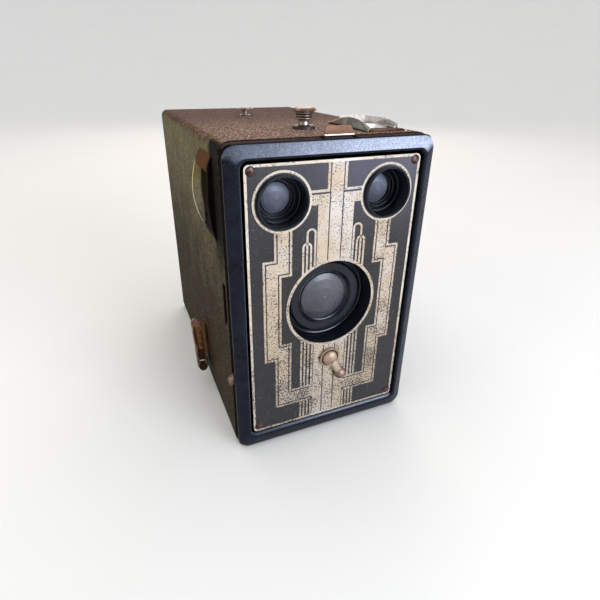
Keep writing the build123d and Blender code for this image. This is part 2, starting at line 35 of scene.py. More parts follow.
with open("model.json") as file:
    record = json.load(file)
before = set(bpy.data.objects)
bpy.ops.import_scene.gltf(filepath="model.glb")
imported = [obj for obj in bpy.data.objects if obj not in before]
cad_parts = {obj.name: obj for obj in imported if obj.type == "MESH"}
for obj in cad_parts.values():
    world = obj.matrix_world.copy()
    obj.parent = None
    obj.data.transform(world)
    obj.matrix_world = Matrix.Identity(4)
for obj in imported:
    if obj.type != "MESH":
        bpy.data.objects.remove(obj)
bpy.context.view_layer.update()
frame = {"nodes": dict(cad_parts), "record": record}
MM = 0.001
NODES = frame["nodes"]


def mid(node):
    low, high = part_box(node)
    return (low + high) / 2 / MM


def low_of(node):
    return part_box(node)[0] / MM


def high_of(node):
    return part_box(node)[1] / MM


# --- materials ---
class Paint:
    """Builds one procedural material. Coordinates are the object's own, in metres."""

    def __init__(self, name):
        self.material = bpy.data.materials.new(name)
        self.material.use_nodes = True
        self.tree = self.material.node_tree
        self.tree.nodes.clear()
        self.shader = self.tree.nodes.new("ShaderNodeBsdfPrincipled")
        self.output = self.tree.nodes.new("ShaderNodeOutputMaterial")
        self.tree.links.new(self.shader.outputs[0], self.output.inputs[0])
        self.place = self.tree.nodes.new("ShaderNodeTexCoord").outputs["Object"]

    def node(self, kind, sockets=(), **settings):
        made = self.tree.nodes.new(kind)
        for key, value in settings.items():
            setattr(made, key, value)
        for key, value in dict(sockets).items():
            self.plug(value, made.inputs[key])
        return made

    def plug(self, value, socket):
        if isinstance(value, bpy.types.NodeSocket):
            self.tree.links.new(value, socket)
        elif isinstance(value, tuple) and len(value) == 3 and socket.type == "RGBA":
            socket.default_value = (*value, 1)
        else:
            socket.default_value = value

    def finished(self, **sockets):
        """Sets the shader's sockets (underscores stand for spaces) and gives the material."""
        for key, value in sockets.items():
            self.plug(value, self.shader.inputs[key.replace("_", " ")])
        return self.material

    def noise(self, size, detail=4.0, roughness=0.55, vector=None):
        """Noise whose features are about size millimetres."""
        settings = {"Vector": vector or self.place, "Scale": 1 / (size * MM), "Detail": detail,
                    "Roughness": roughness}
        return self.node("ShaderNodeTexNoise", settings).outputs["Fac"]

    def pebbles(self, size):
        """Distance from the middle of soft round cells about size millimetres wide."""
        settings = {"Vector": self.place, "Scale": 1 / (size * MM)}
        return self.node("ShaderNodeTexVoronoi", settings, feature="SMOOTH_F1").outputs["Distance"]

    def stretch(self, x, y, z):
        """Object coordinates scaled along each axis, for scratches and brushed lines."""
        settings = {0: self.place, 1: (x, y, z)}
        return self.node("ShaderNodeVectorMath", settings, operation="MULTIPLY").outputs[0]

    def step(self, value, low, high, out_low=0.0, out_high=1.0):
        """Eased passage from out_low to out_high as the value goes from low to high."""
        settings = {"Value": value, "From Min": low, "From Max": high, "To Min": out_low,
                    "To Max": out_high}
        return self.node("ShaderNodeMapRange", settings, interpolation_type="SMOOTHSTEP").outputs[0]

    def math(self, operation, a, b=0.0):
        return self.node("ShaderNodeMath", {0: a, 1: b}, operation=operation).outputs[0]

    def mul(self, a, b):
        return self.math("MULTIPLY", a, b)

    def add(self, a, b):
        return self.math("ADD", a, b)

    def sub(self, a, b):
        return self.math("SUBTRACT", a, b)

    def moved(self, value, cloud, reach):
        """The value, shifted up and down by a noise by as much as half of reach."""
        return self.add(value, self.mul(self.sub(cloud, 0.5), reach))

    def blend(self, amount, a, b):
        made = self.node("ShaderNodeMix", data_type="RGBA")
        self.plug(amount, made.inputs[0])
        self.plug(a, made.inputs[6])
        self.plug(b, made.inputs[7])
        return made.outputs[2]

    def over(self, colour, mask, strength, tone):
        """The colour with a tone laid over it where the mask is."""
        return self.blend(self.mul(mask, strength), colour, tone)

    def axis(self, name):
        return self.node("ShaderNodeSeparateXYZ", {0: self.place}).outputs[name]

    def bump(self, height, depth, strength=1.0):
        """Bump of about depth millimetres."""
        settings = {"Height": height, "Distance": depth * MM, "Strength": strength}
        return self.node("ShaderNodeBump", settings).outputs[0]

    def facing(self, name):
        """How far the surface faces along one of the object's axes, from -1 to 1."""
        normal = self.node("ShaderNodeTexCoord").outputs["Normal"]
        return self.node("ShaderNodeSeparateXYZ", {0: normal}).outputs[name]

    def upward(self):
        return self.facing("Z")

    def sideways(self):
        return self.facing("X")


def leatherette():
    """Imitation leather: pebble grain and worn edges. Painted light: a warm coppery top with coppery
    highlights near the knob, an olive left side that lightens upwards, and a painted shadow high on its front
    part.
    """
    p = Paint("leatherette")
    pebble = p.pebbles(0.95)
    fine = p.noise(0.4, 3)
    speck = p.noise(0.85, 3, 0.6)
    patches = p.noise(15, 5)
    blotch = p.noise(4.0, 4)
    # painted light: top picks out upward faces, which take a warmer, lighter coppery tone and livelier
    # speckle; left picks out the left side, which keeps the olive tint that other sides lose
    top = p.step(p.upward(), 0.3, 0.8)
    left = p.step(p.sideways(), -0.3, -0.8)
    # painted light: on the side the colour lightens from dark brown low down to olive higher up
    height_here = p.moved(p.axis("Z"), patches, 0.06)
    lit_higher_up = p.step(height_here, 0.055, 0.134)
    side_dark = p.blend(lit_higher_up, (0.034, 0.026, 0.017), (0.118, 0.106, 0.06))
    side_light = p.blend(lit_higher_up, (0.102, 0.08, 0.055), (0.262, 0.24, 0.14))
    side_dark = p.blend(left, (0.02, 0.016, 0.012), side_dark)
    side_light = p.blend(left, (0.072, 0.057, 0.044), side_light)
    dark = p.blend(top, side_dark, (0.09, 0.054, 0.045))
    light = p.blend(top, side_light, (0.245, 0.16, 0.134))
    crest = p.step(pebble, 0.55, 0.1)
    tone = p.mul(crest, p.step(patches, 0.3, 0.72, 0.45, 1.0))
    calm = p.mul(p.step(speck, 0.36, 0.62, 0.35, 1.15), p.sub(1.0, top))
    lively = p.mul(p.step(speck, 0.36, 0.62, 0.1, 1.35), top)
    tone = p.mul(tone, p.add(calm, lively))
    body = p.blend(tone, dark, light)
    # painted highlights: coppery sparkle laid over the top near the knob
    near_knob = p.step(p.axis("Y"), 0.02, -0.045, 0.05, 1.0)
    painted_glint = p.mul(p.step(p.noise(0.8, 3), 0.51, 0.6), p.mul(top, near_knob))
    body = p.over(body, painted_glint, 0.7, (0.7, 0.47, 0.34))
    limit = high_of("leatherette_wrap") * MM
    from_side = p.sub(limit.x, p.math("ABSOLUTE", p.axis("X")))
    corner = p.add(from_side, p.sub(limit.z, p.axis("Z")))
    ragged = p.moved(corner, blotch, 0.006)
    worn = p.step(ragged, 0.004, 0.001)
    body = p.over(body, worn, 0.85, (0.075, 0.038, 0.02))
    bald = p.mul(worn, p.step(p.noise(1.8, 4), 0.56, 0.64))
    body = p.blend(bald, body, (0.26, 0.155, 0.085))
    # painted shadow: near-black laid over the upper front of the left side, in front of the side hood
    shift = p.mul(p.sub(blotch, 0.5), 0.008)
    toward_front = p.step(p.add(p.axis("Y"), shift), -0.053, -0.057)
    high_up = p.step(p.add(p.axis("Z"), p.mul(shift, 2.0)), 0.078, 0.1)
    grime_and_painted_shadow = p.mul(p.mul(toward_front, high_up), left)
    body = p.over(body, grime_and_painted_shadow, 0.95, (0.005, 0.004, 0.0035))
    grain = p.add(p.step(pebble, 0.62, 0.05), p.mul(fine, 0.6))
    grain = p.add(grain, p.mul(blotch, 0.8))
    return p.finished(
        Base_Color=body, Roughness=p.step(tone, 0.0, 1.0, 0.78, 0.55),
        Normal=p.bump(grain, 0.3), IOR=1.12)


def enamel(name, base, rough, speck=0.5, specks=0.72, peel=0.02, ior=1.45, coat=0.35, top=None):
    """Gloss or satin enamel with fine dust, small chips, slight orange peel and faint scratches.

    top is a colour laid in noisy patches over faces that look upwards.
    """
    p = Paint(name)
    cloud = p.noise(22, 4)
    dust = p.step(p.noise(speck, 2), specks, specks + 0.06)
    chips = p.step(p.noise(1.6, 5, 0.7), 0.765, 0.785)
    colour = p.blend(p.step(cloud, 0.3, 0.7), base, tuple(c * 1.6 + 0.002 for c in base))
    if top:
        # faces that look upwards take the top colour in noisy patches
        worn = p.mul(p.step(p.upward(), 0.3, 0.8), p.step(p.noise(1.1, 4), 0.42, 0.56, 0.35, 1.0))
        colour = p.blend(worn, colour, top)
    colour = p.over(colour, dust, 0.35, (0.16, 0.16, 0.18))
    colour = p.blend(chips, colour, (0.07, 0.055, 0.045))
    scratch = p.step(p.noise(0.5, 2, vector=p.stretch(0.06, 1, 1)), 0.72, 0.76)
    roughness = p.add(p.step(cloud, 0.2, 0.8, rough, rough + 0.1), p.mul(dust, 0.3))
    height = p.add(p.noise(1.2, 4), p.mul(p.add(dust, chips), -0.5))
    height = p.sub(height, p.mul(scratch, 0.2))
    return p.finished(
        Base_Color=colour, Roughness=roughness, Normal=p.bump(height, peel, 0.9),
        IOR=ior, Coat_Weight=coat, Coat_Roughness=0.12)


def bezel_enamel():
    """Blue-black gloss enamel with fine dust and pinholes, and a painted blue reflection on slopes facing up
    or right.
    """
    p = Paint("bezel_enamel")
    cloud = p.noise(7, 5, 0.65)
    dust = p.step(p.noise(0.42, 2), 0.68, 0.75)
    pits = p.step(p.noise(1.1, 4, 0.7), 0.66, 0.7)
    fine = p.step(p.noise(0.5, 3, 0.7), 0.42, 0.66)
    # painted reflection: blue on upward slopes, growing towards the right, left off the outer top rim, laid
    # on the upward lower inner lip and faintly on faces turned right
    rim = p.mul(p.step(p.upward(), 0.6, 0.85), p.step(p.axis("Z"), 0.12, 0.13))
    lip = p.step(p.axis("Z"), 0.03, 0.022)
    slope = p.mul(p.step(p.upward(), 0.06, 0.26), p.sub(1.0, rim))
    slope = p.mul(slope, p.sub(1.0, lip))
    slope = p.add(slope, p.mul(lip, p.step(p.upward(), 0.62, 0.92, 0.0, 0.7)))
    sweep = p.moved(p.axis("X"), cloud, 0.03)
    sweep = p.step(sweep, -0.046, 0.026, 0.16, 1.0)
    haze_and_painted_reflection = p.mul(slope, sweep)
    right_facing_reflection = p.step(p.sideways(), 0.12, 0.85, 0.0, 0.11)
    haze_and_painted_reflection = p.add(haze_and_painted_reflection, right_facing_reflection)
    haze_and_painted_reflection = p.mul(haze_and_painted_reflection, p.step(fine, 0.0, 1.0, 0.62, 1.12))
    colour = p.blend(p.step(cloud, 0.3, 0.7), (0.0045, 0.0058, 0.011), (0.009, 0.0115, 0.0215))
    colour = p.over(colour, haze_and_painted_reflection, 0.86, (0.61, 0.69, 0.9))
    colour = p.over(colour, dust, 0.45, (0.24, 0.27, 0.34))
    colour = p.over(colour, pits, 0.75, (0.03, 0.04, 0.065))
    roughness = p.add(p.step(cloud, 0.2, 0.8, 0.24, 0.36), p.mul(dust, 0.3))
    roughness = p.add(roughness, p.mul(rim, 0.6))
    height = p.add(p.noise(1.0, 4), p.mul(p.add(dust, pits), -0.5))
    return p.finished(
        Base_Color=colour, Roughness=roughness, Normal=p.bump(height, 0.03, 0.9),
        IOR=1.18)


def plate_black():
    """Dark enamel of the front plate: satin, with small pale flecks and diagonal scratches, and a painted
    bluish reflection over its upper part, stronger to the right.
    """
    p = Paint("plate_enamel")
    cloud = p.noise(14, 5)
    fleck = p.step(p.noise(0.42, 2), 0.66, 0.72)
    slanted = p.node("ShaderNodeMapping", {"Vector": p.place, "Rotation": (0, radians(38), 0),
                                           "Scale": (1, 1, 0.05)}).outputs[0]
    scratch = p.step(p.noise(1.0, 3, vector=slanted), 0.71, 0.73)
    colour = p.blend(cloud, (0.008, 0.0068, 0.0078), (0.02, 0.0178, 0.0225))
    # painted reflection: a bluish tone over the upper part of the plate, stronger to the right
    painted_sky_reflection = p.mul(p.step(p.axis("Z"), 0.09, 0.136), p.step(p.axis("X"), -0.05, 0.036))
    colour = p.blend(p.mul(painted_sky_reflection, p.step(cloud, 0.3, 0.7, 0.6, 0.9)), colour, (0.095, 0.094, 0.135))
    colour = p.over(colour, fleck, 0.7, (0.22, 0.2, 0.18))
    colour = p.over(colour, scratch, 0.45, (0.14, 0.13, 0.12))
    return p.finished(
        Base_Color=colour, Roughness=p.step(cloud, 0.2, 0.8, 0.36, 0.48),
        Normal=p.bump(p.sub(p.noise(0.9, 3), scratch), 0.02, 0.7), IOR=1.4)


def plate_cream(name, pale, tan_tone, wear_level):
    """Cream lacquer over metal: tan in patches, peppered with small dark spots of wear."""
    p = Paint(name)
    tan = p.noise(13, 5, 0.6)
    wear = p.noise(7, 4)
    pits = p.noise(0.75, 5, 0.74)
    low_down = p.step(p.axis("Z"), 0.09, 0.018)
    outward = p.step(p.math("ABSOLUTE", p.axis("X")), 0.003, 0.02)
    edge = p.sub(wear_level, p.mul(p.step(wear, 0.35, 0.72), 0.065))
    edge = p.sub(edge, p.mul(low_down, 0.06))
    edge = p.sub(edge, p.mul(outward, 0.026))
    spots = p.step(p.sub(pits, edge), 0.0, 0.018)
    fine = p.step(p.noise(0.33, 3, 0.6), 0.58, 0.68)
    warmth = p.add(p.step(tan, 0.34, 0.66), p.mul(outward, 0.45))
    colour = p.blend(warmth, pale, tan_tone)
    colour = p.over(colour, low_down, 0.35, (0.38, 0.31, 0.225))
    colour = p.over(colour, fine, 0.4, (0.28, 0.22, 0.16))
    colour = p.blend(spots, colour, (0.022, 0.017, 0.016))
    return p.finished(
        Base_Color=colour, Roughness=p.step(pits, 0.3, 0.7, 0.3, 0.52),
        Normal=p.bump(p.sub(p.noise(1.1, 3), spots), 0.035, 0.8),
        Metallic=0.2, Coat_Weight=0.15, Coat_Roughness=0.3)


def metal(name, bright, tarnish, stain, rough=0.32, spread=(0.42, 0.62), grain=2.5, turn=None):
    """Plated or bare metal with clouds of tarnish, dark stains, fine scratches and pits.

    turn is (axis, from, to, colour): along that axis the metal passes over to another tone.
    """
    p = Paint(name)
    cloud = p.noise(grain * 1.6, 5, 0.62)
    spots = p.noise(grain * 0.45, 4, 0.65)
    pits = p.step(p.noise(0.28, 3), 0.64, 0.72)
    lines = p.noise(0.5, 3, vector=p.stretch(1, 1, 0.08))
    worn = p.step(cloud, *spread)
    colour = p.blend(worn, bright, tarnish)
    if turn:
        axis, start, stop, tone = turn
        place = p.moved(p.axis(axis), spots, 0.002)
        colour = p.blend(p.step(place, start * MM, stop * MM), colour, tone)
    dirt = p.step(spots, 0.6, 0.7)
    colour = p.over(colour, dirt, 0.8, stain)
    colour = p.over(colour, pits, 0.5, stain)
    roughness = p.add(p.step(worn, 0, 1, rough, rough + 0.22), p.mul(dirt, 0.22))
    height = p.add(p.mul(lines, 0.5), p.mul(pits, -0.8))
    height = p.add(height, p.mul(dirt, 0.3))
    return p.finished(
        Base_Color=colour, Roughness=roughness, Metallic=p.step(dirt, 0, 1, 0.9, 0.45),
        Normal=p.bump(height, 0.03, 0.7))


def tab_metal():
    """Copper strip, speckled above, with a painted highlight line where it turns over and painted shade where
    it goes down into the slot.
    """
    p = Paint("tab_metal")
    spots = p.step(p.noise(0.7, 4, 0.6), 0.6, 0.67)
    cloud = p.noise(3.4, 4)
    height = p.moved(p.axis("Z"), cloud, 0.0004)
    colour = p.blend(p.step(cloud, 0.35, 0.65), (0.34, 0.185, 0.125), (0.27, 0.135, 0.085))
    colour = p.over(colour, spots, 0.85, (0.06, 0.03, 0.022))
    # painted highlight: a pale line across the strip where it turns over
    bend_highlight = p.mul(p.step(height, 0.1369, 0.13705), p.step(height, 0.13745, 0.13725))
    colour = p.blend(bend_highlight, colour, (0.62, 0.51, 0.46))
    # painted shade: near-black below that line, where the strip goes down into the slot
    colour = p.blend(p.step(height, 0.13695, 0.1368), colour, (0.02, 0.011, 0.009))
    return p.finished(
        Base_Color=colour, Roughness=p.step(cloud, 0.3, 0.7, 0.42, 0.6),
        Normal=p.bump(spots, -0.02, 0.7), Metallic=0.6)


def dusty_glass(name, dark, pale, rough=(0.24, 0.34), ior=1.45, coat=0.2):
    """Old lens glass: soft cloudy lighter patches over a dark body, a painted reflection lightening faces
    towards the upper right, dust and wipe marks.
    """
    p = Paint(name)
    haze_and_painted_reflection = p.step(p.noise(20, 2), 0.3, 0.7)
    dust = p.step(p.noise(0.3, 3), 0.64, 0.74)
    smear = p.noise(3.4, 3, vector=p.stretch(1, 1, 0.22))
    colour = p.blend(p.mul(haze_and_painted_reflection, 0.8), dark, pale)
    # painted reflection: faces turned up and to the right are lightened
    lifted = p.add(p.mul(p.sideways(), 0.5), p.upward())
    painted_reflection = p.step(p.add(lifted, p.mul(smear, 0.08)), -0.02, 0.42)
    colour = p.blend(p.mul(painted_reflection, 0.45), colour, tuple(c * 2.2 for c in pale))
    colour = p.blend(p.mul(p.step(smear, 0.45, 0.75), 0.12), colour, pale)
    colour = p.over(colour, dust, 0.14, (0.3, 0.3, 0.32))
    return p.finished(
        Base_Color=colour, Roughness=p.step(smear, 0.3, 0.7, *rough),
        Normal=p.bump(p.noise(3.2, 3), 0.006, 0.4), Transmission_Weight=0.15, IOR=ior,
        Coat_Weight=coat, Coat_Roughness=0.14)


def ground_window():
    """Finder window: pale ground glass with patches of dirt."""
    p = Paint("window_glass")
    grime_and_painted_shadow = p.step(p.noise(3.2, 5, 0.65), 0.44, 0.68)
    colour = p.blend(grime_and_painted_shadow, (0.74, 0.74, 0.72), (0.4, 0.36, 0.29))
    return p.finished(
        Base_Color=colour, Roughness=p.step(grime_and_painted_shadow, 0, 1, 0.14, 0.38),
        Normal=p.bump(p.noise(0.25, 2), 0.02, 0.5), Transmission_Weight=0.25,
        Coat_Weight=1.0, Coat_Roughness=0.08)


def silvered():
    """Mirror with patches of foxing."""
    p = Paint("mirror")
    fox = p.step(p.noise(2.5, 5, 0.7), 0.6, 0.72)
    return p.finished(
        Base_Color=p.blend(fox, (0.86, 0.87, 0.88), (0.2, 0.15, 0.11)),
        Roughness=p.step(fox, 0, 1, 0.03, 0.5), Metallic=p.step(fox, 0, 1, 1.0, 0.3))


def ruby():
    """Deep red celluloid, slightly cloudy."""
    p = Paint("ruby")
    cloud = p.noise(2.5, 4)
    return p.finished(
        Base_Color=p.blend(cloud, (0.2, 0.006, 0.006), (0.42, 0.02, 0.014)),
        Roughness=p.step(cloud, 0.3, 0.7, 0.12, 0.3), Normal=p.bump(cloud, 0.03, 0.4),
        Coat_Weight=0.8)


# name: bright, tarnish, stain[, roughness[, spread of the tarnish[, size of its clouds[, turn]]]]
METALS = {
    "rusty_pin": ((0.12, 0.075, 0.068), (0.045, 0.022, 0.017), (0.015, 0.009, 0.007), 0.46, (0.36, 0.6), 0.9),
    "hood_metal": ((0.46, 0.44, 0.38), (0.2, 0.125, 0.075), (0.06, 0.042, 0.03), 0.24, (0.4, 0.62), 4.0),
    # painted light: a brighter copy of the hood metal for the top hood's lit far wing and wall and the bright
    # band of its fold
    "hood_bright": ((0.7, 0.67, 0.66), (0.52, 0.44, 0.42), (0.2, 0.14, 0.11), 0.3, (0.46, 0.7), 3.0),
    "hood_near": ((0.33, 0.325, 0.285), (0.2, 0.19, 0.155), (0.05, 0.032, 0.025), 0.28, (0.38, 0.62), 5.5,
                  ("Y", -46, -39, (0.2, 0.115, 0.08))),
    # painted shade: a darker copy of the hood metal for the side hood's rear wing, with an olive tone higher
    # up
    "hood_side": ((0.15, 0.13, 0.095), (0.085, 0.07, 0.048), (0.03, 0.024, 0.015), 0.22, (0.36, 0.66), 6.0,
                  ("Z", 108, 124, (0.17, 0.14, 0.065))),
    "hood_brown": ((0.105, 0.055, 0.032), (0.07, 0.036, 0.022), (0.03, 0.018, 0.012), 0.62, (0.36, 0.6), 4.0),
    "hood_panel": ((0.46, 0.46, 0.47), (0.34, 0.32, 0.31), (0.16, 0.13, 0.11), 0.36),
    # painted highlight: light caught along the side hood's rear wing crest, turning yellow higher up
    "edge_bright": ((0.66, 0.63, 0.5), (0.46, 0.38, 0.26), (0.16, 0.11, 0.07), 0.3, (0.42, 0.64), 4.0,
                    ("Z", 112, 118, (0.72, 0.63, 0.24))),
    "nickel": ((0.28, 0.225, 0.195), (0.14, 0.085, 0.06), (0.03, 0.018, 0.013), 0.31, (0.42, 0.64), 2.4),
    "knob_rim": ((0.3, 0.235, 0.2), (0.16, 0.1, 0.07), (0.03, 0.018, 0.013), 0.28, (0.42, 0.64), 2.4,
                 ("Z", 144.75, 144.95, (0.4, 0.26, 0.17))),
    "collar_dark": ((0.085, 0.07, 0.07), (0.05, 0.034, 0.03), (0.02, 0.014, 0.012), 0.42),
    "copper_tab": ((0.42, 0.25, 0.165), (0.3, 0.15, 0.09), (0.12, 0.065, 0.04), 0.42, (0.4, 0.62), 3.0),
    "lever_copper": ((0.4, 0.31, 0.235), (0.27, 0.185, 0.13), (0.09, 0.055, 0.042), 0.5, (0.4, 0.66), 3.0),
    "lever_ball": ((0.27, 0.18, 0.15), (0.13, 0.075, 0.055), (0.05, 0.026, 0.018), 0.54, (0.38, 0.62), 1.6),
    "key_metal": ((0.3, 0.155, 0.085), (0.085, 0.036, 0.018), (0.018, 0.01, 0.007), 0.4, (0.34, 0.56), 3.4),
    "key_rust": ((0.27, 0.125, 0.055), (0.13, 0.055, 0.024), (0.05, 0.024, 0.014), 0.5, (0.4, 0.64), 3.0),
    # painted shade: near-black metal for the lower key end, the key's stem and sleeve, and the lever's
    # groove, which lie in shade
    "key_dark": ((0.045, 0.02, 0.014), (0.03, 0.014, 0.01), (0.012, 0.008, 0.006), 0.5),
    "key_end": ((0.3, 0.155, 0.115), (0.2, 0.1, 0.07), (0.07, 0.032, 0.022), 0.5),
    "key_plate": ((0.1, 0.092, 0.06), (0.06, 0.035, 0.02), (0.02, 0.014, 0.01), 0.5, (0.36, 0.6), 4.0,
                  ("Z", 20, 23, (0.13, 0.062, 0.03))),
    "bare_steel": ((0.5, 0.5, 0.5), (0.36, 0.33, 0.29), (0.15, 0.12, 0.1), 0.3),
}
# name: colour, roughness[, size of the dust, its level, depth of the orange peel, IOR, coat, colour of upward
# faces]
ENAMELS = {
    "steel_shell": ((0.005, 0.004, 0.0035), 0.85, 0.5, 0.72, 0.02, 1.06, 0.0, (0.075, 0.044, 0.04)),
    "black_tube": ((0.005, 0.0068, 0.012), 0.2, 0.5, 0.76, 0.008, 1.28, 0.12),
    "black_sheet": ((0.009, 0.0085, 0.008), 0.55, 0.5, 0.72, 0.02, 1.3, 0.0),
    "spool_metal": ((0.014, 0.014, 0.015), 0.3),
    "rust_brown": ((0.075, 0.034, 0.015), 0.8, 0.5, 0.62, 0.05, 1.08, 0.0),
    # painted shade: near-black for the side hood's front wing, front end wall and window flange
    "hood_black": ((0.0045, 0.0032, 0.0026), 0.6, 0.5, 0.72, 0.02, 1.08, 0.0),
}
# name: dark, pale[, roughness from and to, IOR, coat]
GLASSES = {
    "clear_glass": ((0.03, 0.031, 0.038), (0.105, 0.109, 0.132)),
    "finder_glass": ((0.072, 0.08, 0.11), (0.195, 0.215, 0.29), (0.34, 0.42), 1.25, 0.04),
    "brown_glass": ((0.01, 0.007, 0.004), (0.026, 0.018, 0.009), (0.45, 0.6), 1.02, 0.0),
}
# name: pale, tan, level of the wear
CREAMS = {
    "plate_cream": ((0.61, 0.552, 0.52), (0.53, 0.418, 0.305), 0.603),
    "plate_border": ((0.78, 0.73, 0.68), (0.62, 0.53, 0.43), 0.625),
}
LOOKS = {"leatherette": leatherette(), "plate_enamel": plate_black(), "bezel_enamel": bezel_enamel(),
         "window_glass": ground_window(), "mirror": silvered(), "tab_metal": tab_metal(), "ruby": ruby()}
for maker, table in ((metal, METALS), (enamel, ENAMELS), (dusty_glass, GLASSES), (plate_cream, CREAMS)):
    for look_name, settings in table.items():
        LOOKS[look_name] = maker(look_name, *settings)


# CAD nodes whose look differs from that of their material slot
CHANGED = {"key_escutcheon": "key_plate", "key_sleeve": "key_dark", "shutter_lever": "lever_ball",
           "time_slide": "tab_metal", "aperture_slide": "tab_metal", "screw_collar": "collar_dark",
           "finder_lens_left": "finder_glass", "finder_lens_right": "finder_glass",
           "side_finder_glass": "brown_glass"}


def dress_cad_nodes():
    for entry in frame["record"]["subparts"]:
        mesh = NODES[entry["node"]].data
        mesh.materials.clear()
        mesh.materials.append(LOOKS[CHANGED.get(entry["node"], entry["material_slot"])])
        mesh.shade_smooth()
        mesh.set_sharp_from_angle(angle=radians(32))


# --- mesh helpers ---
def in_scene(name, data):
    item = bpy.data.objects.new(name, data)
    bpy.context.scene.collection.objects.link(item)
    return item


def add_piece(name, mesh_maker, look, slot, body, bevel=0.0, smooth=True, instead=None):
    """Makes an object from a bmesh, finishes its surface and hangs it on its body."""
    shape = bmesh.new()
    mesh_maker(shape)
    bmesh.ops.remove_doubles(shape, verts=shape.verts, dist=0.002 * MM)
    bmesh.ops.recalc_face_normals(shape, faces=shape.faces)
    mesh = bpy.data.meshes.new(name)
    shape.to_mesh(mesh)
    shape.free()
    item = in_scene(name, mesh)
    mesh.materials.append(LOOKS[look])
    if bevel:
        rounding = item.modifiers.new("edges", "BEVEL")
        rounding.width = bevel * MM
        rounding.segments = 3
        rounding.limit_method = "ANGLE"
        rounding.angle_limit = radians(40)
    if smooth:
        mesh.shade_smooth()
        mesh.set_sharp_from_angle(angle=radians(38))
    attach(item, body)
    if instead:
        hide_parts(instead)


def add_family(prefix, slot, body, node, rows):
    """Pieces that together stand for one CAD node: rows of (name, maker, look, bevel)."""
    for name, maker, look, bevel in rows:
        add_piece(prefix + name, maker, look, slot, body, bevel, instead=node)


def prism(shape, outline, place, depth):
    """Solid between an outline and its copy: place(u, v, w) gives the point, w runs over depth."""
    near = [shape.verts.new(place(u, v, depth[0])) for u, v in outline]
    far = [shape.verts.new(place(u, v, depth[1])) for u, v in outline]
    shape.faces.new(near)
    shape.faces.new(far[::-1])
    count = len(outline)
    for i in range(count):
        j = (i + 1) % count
        shape.faces.new((near[i], far[i], far[j], near[j]))


def block(shape, u0, u1, v0, v1, place, depth):
    prism(shape, [(u0, v0), (u1, v0), (u1, v1), (u0, v1)], place, depth)


def bridge(shape, a, b):
    """Faces between two closed rows of points."""
    for k in range(len(a)):
        n = (k + 1) % len(a)
        shape.faces.new((a[k], b[k], b[n], a[n]))


def loft(shape, outlines, capped=True):
    """Surface over closed rows of points, with a lid on the first and the last."""
    rings = [[shape.verts.new(point) for point in outline] for outline in outlines]
    for a, b in zip(rings, rings[1:]):
        bridge(shape, a, b)
    if capped:
        shape.faces.new(rings[0])
        shape.faces.new(rings[-1])


def squared(angle, power):
    """Cosine and sine pushed outwards, which turns a circle into a rounded square."""
    return [abs(share) ** power * (1 if share > 0 else -1) for share in (cos(angle), sin(angle))]


def in_front(u, v, w):
    """Point of a front-plate outline: u is X, v is Z and w is Y, in millimetres."""
    return Vector((u, w, v)) * MM


def lathe(shape, profile, spin, segments=64):
    """Turned surface: spin(radius, along, angle) gives the point; closed where a radius is zero."""
    rings = []
    for radius, along in profile:
        count = segments if radius > 1e-6 else 1
        rings.append([shape.verts.new(spin(radius, along, 2 * pi * k / segments)) for k in range(count)])
    for a, b in zip(rings, rings[1:]):
        if len(a) == 1 and len(b) == 1:
            continue
        for k in range(segments):
            n = (k + 1) % segments
            if len(a) == 1:
                shape.faces.new((a[0], b[k], b[n]))
            elif len(b) == 1:
                shape.faces.new((a[k], b[0], a[n]))
            else:
                shape.faces.new((a[k], b[k], b[n], a[n]))


def about_y(x, z):
    """Spin function for a piece turned round an axis along Y."""
    def spin(radius, along, angle):
        return Vector((x + radius * cos(angle), along, z + radius * sin(angle))) * MM
    return spin


# --- pattern of the front plate ---
PLATE_LOW = low_of("deco_plate")
PLATE_HIGH = high_of("deco_plate")
PLATE_TOP = PLATE_HIGH.z - PLATE_LOW.z
PLATE_SIDE = PLATE_HIGH.x
PLATE_FACE = PLATE_LOW.y
INLAY = 0.06  # the cream stands this far proud of the plate
INLAY_DEPTH = (PLATE_FACE - INLAY, PLATE_FACE + 0.05)
LENS = mid("main_lens")
FINDERS = [mid("finder_lens_left"), mid("finder_lens_right")]
LENS_RING = (19.6, 20.8)  # inner and outer radius
FINDER_RING = (10.9, 11.8)
CLOSEUP_Z = 41.6  # height of the close-up lever's pivot
THIN = 0.85  # width of the thin upright lines
BORDER = 1.05  # width of the line round the edge
ARCHES = ((8.55, 12.0, 92.75), (10.3, 13.65, 87.2))  # both feet of an arch and where it springs
LINE_FOOT = 10.65  # the thin upright lines break off between these two heights
LOW_BAND = 19.1


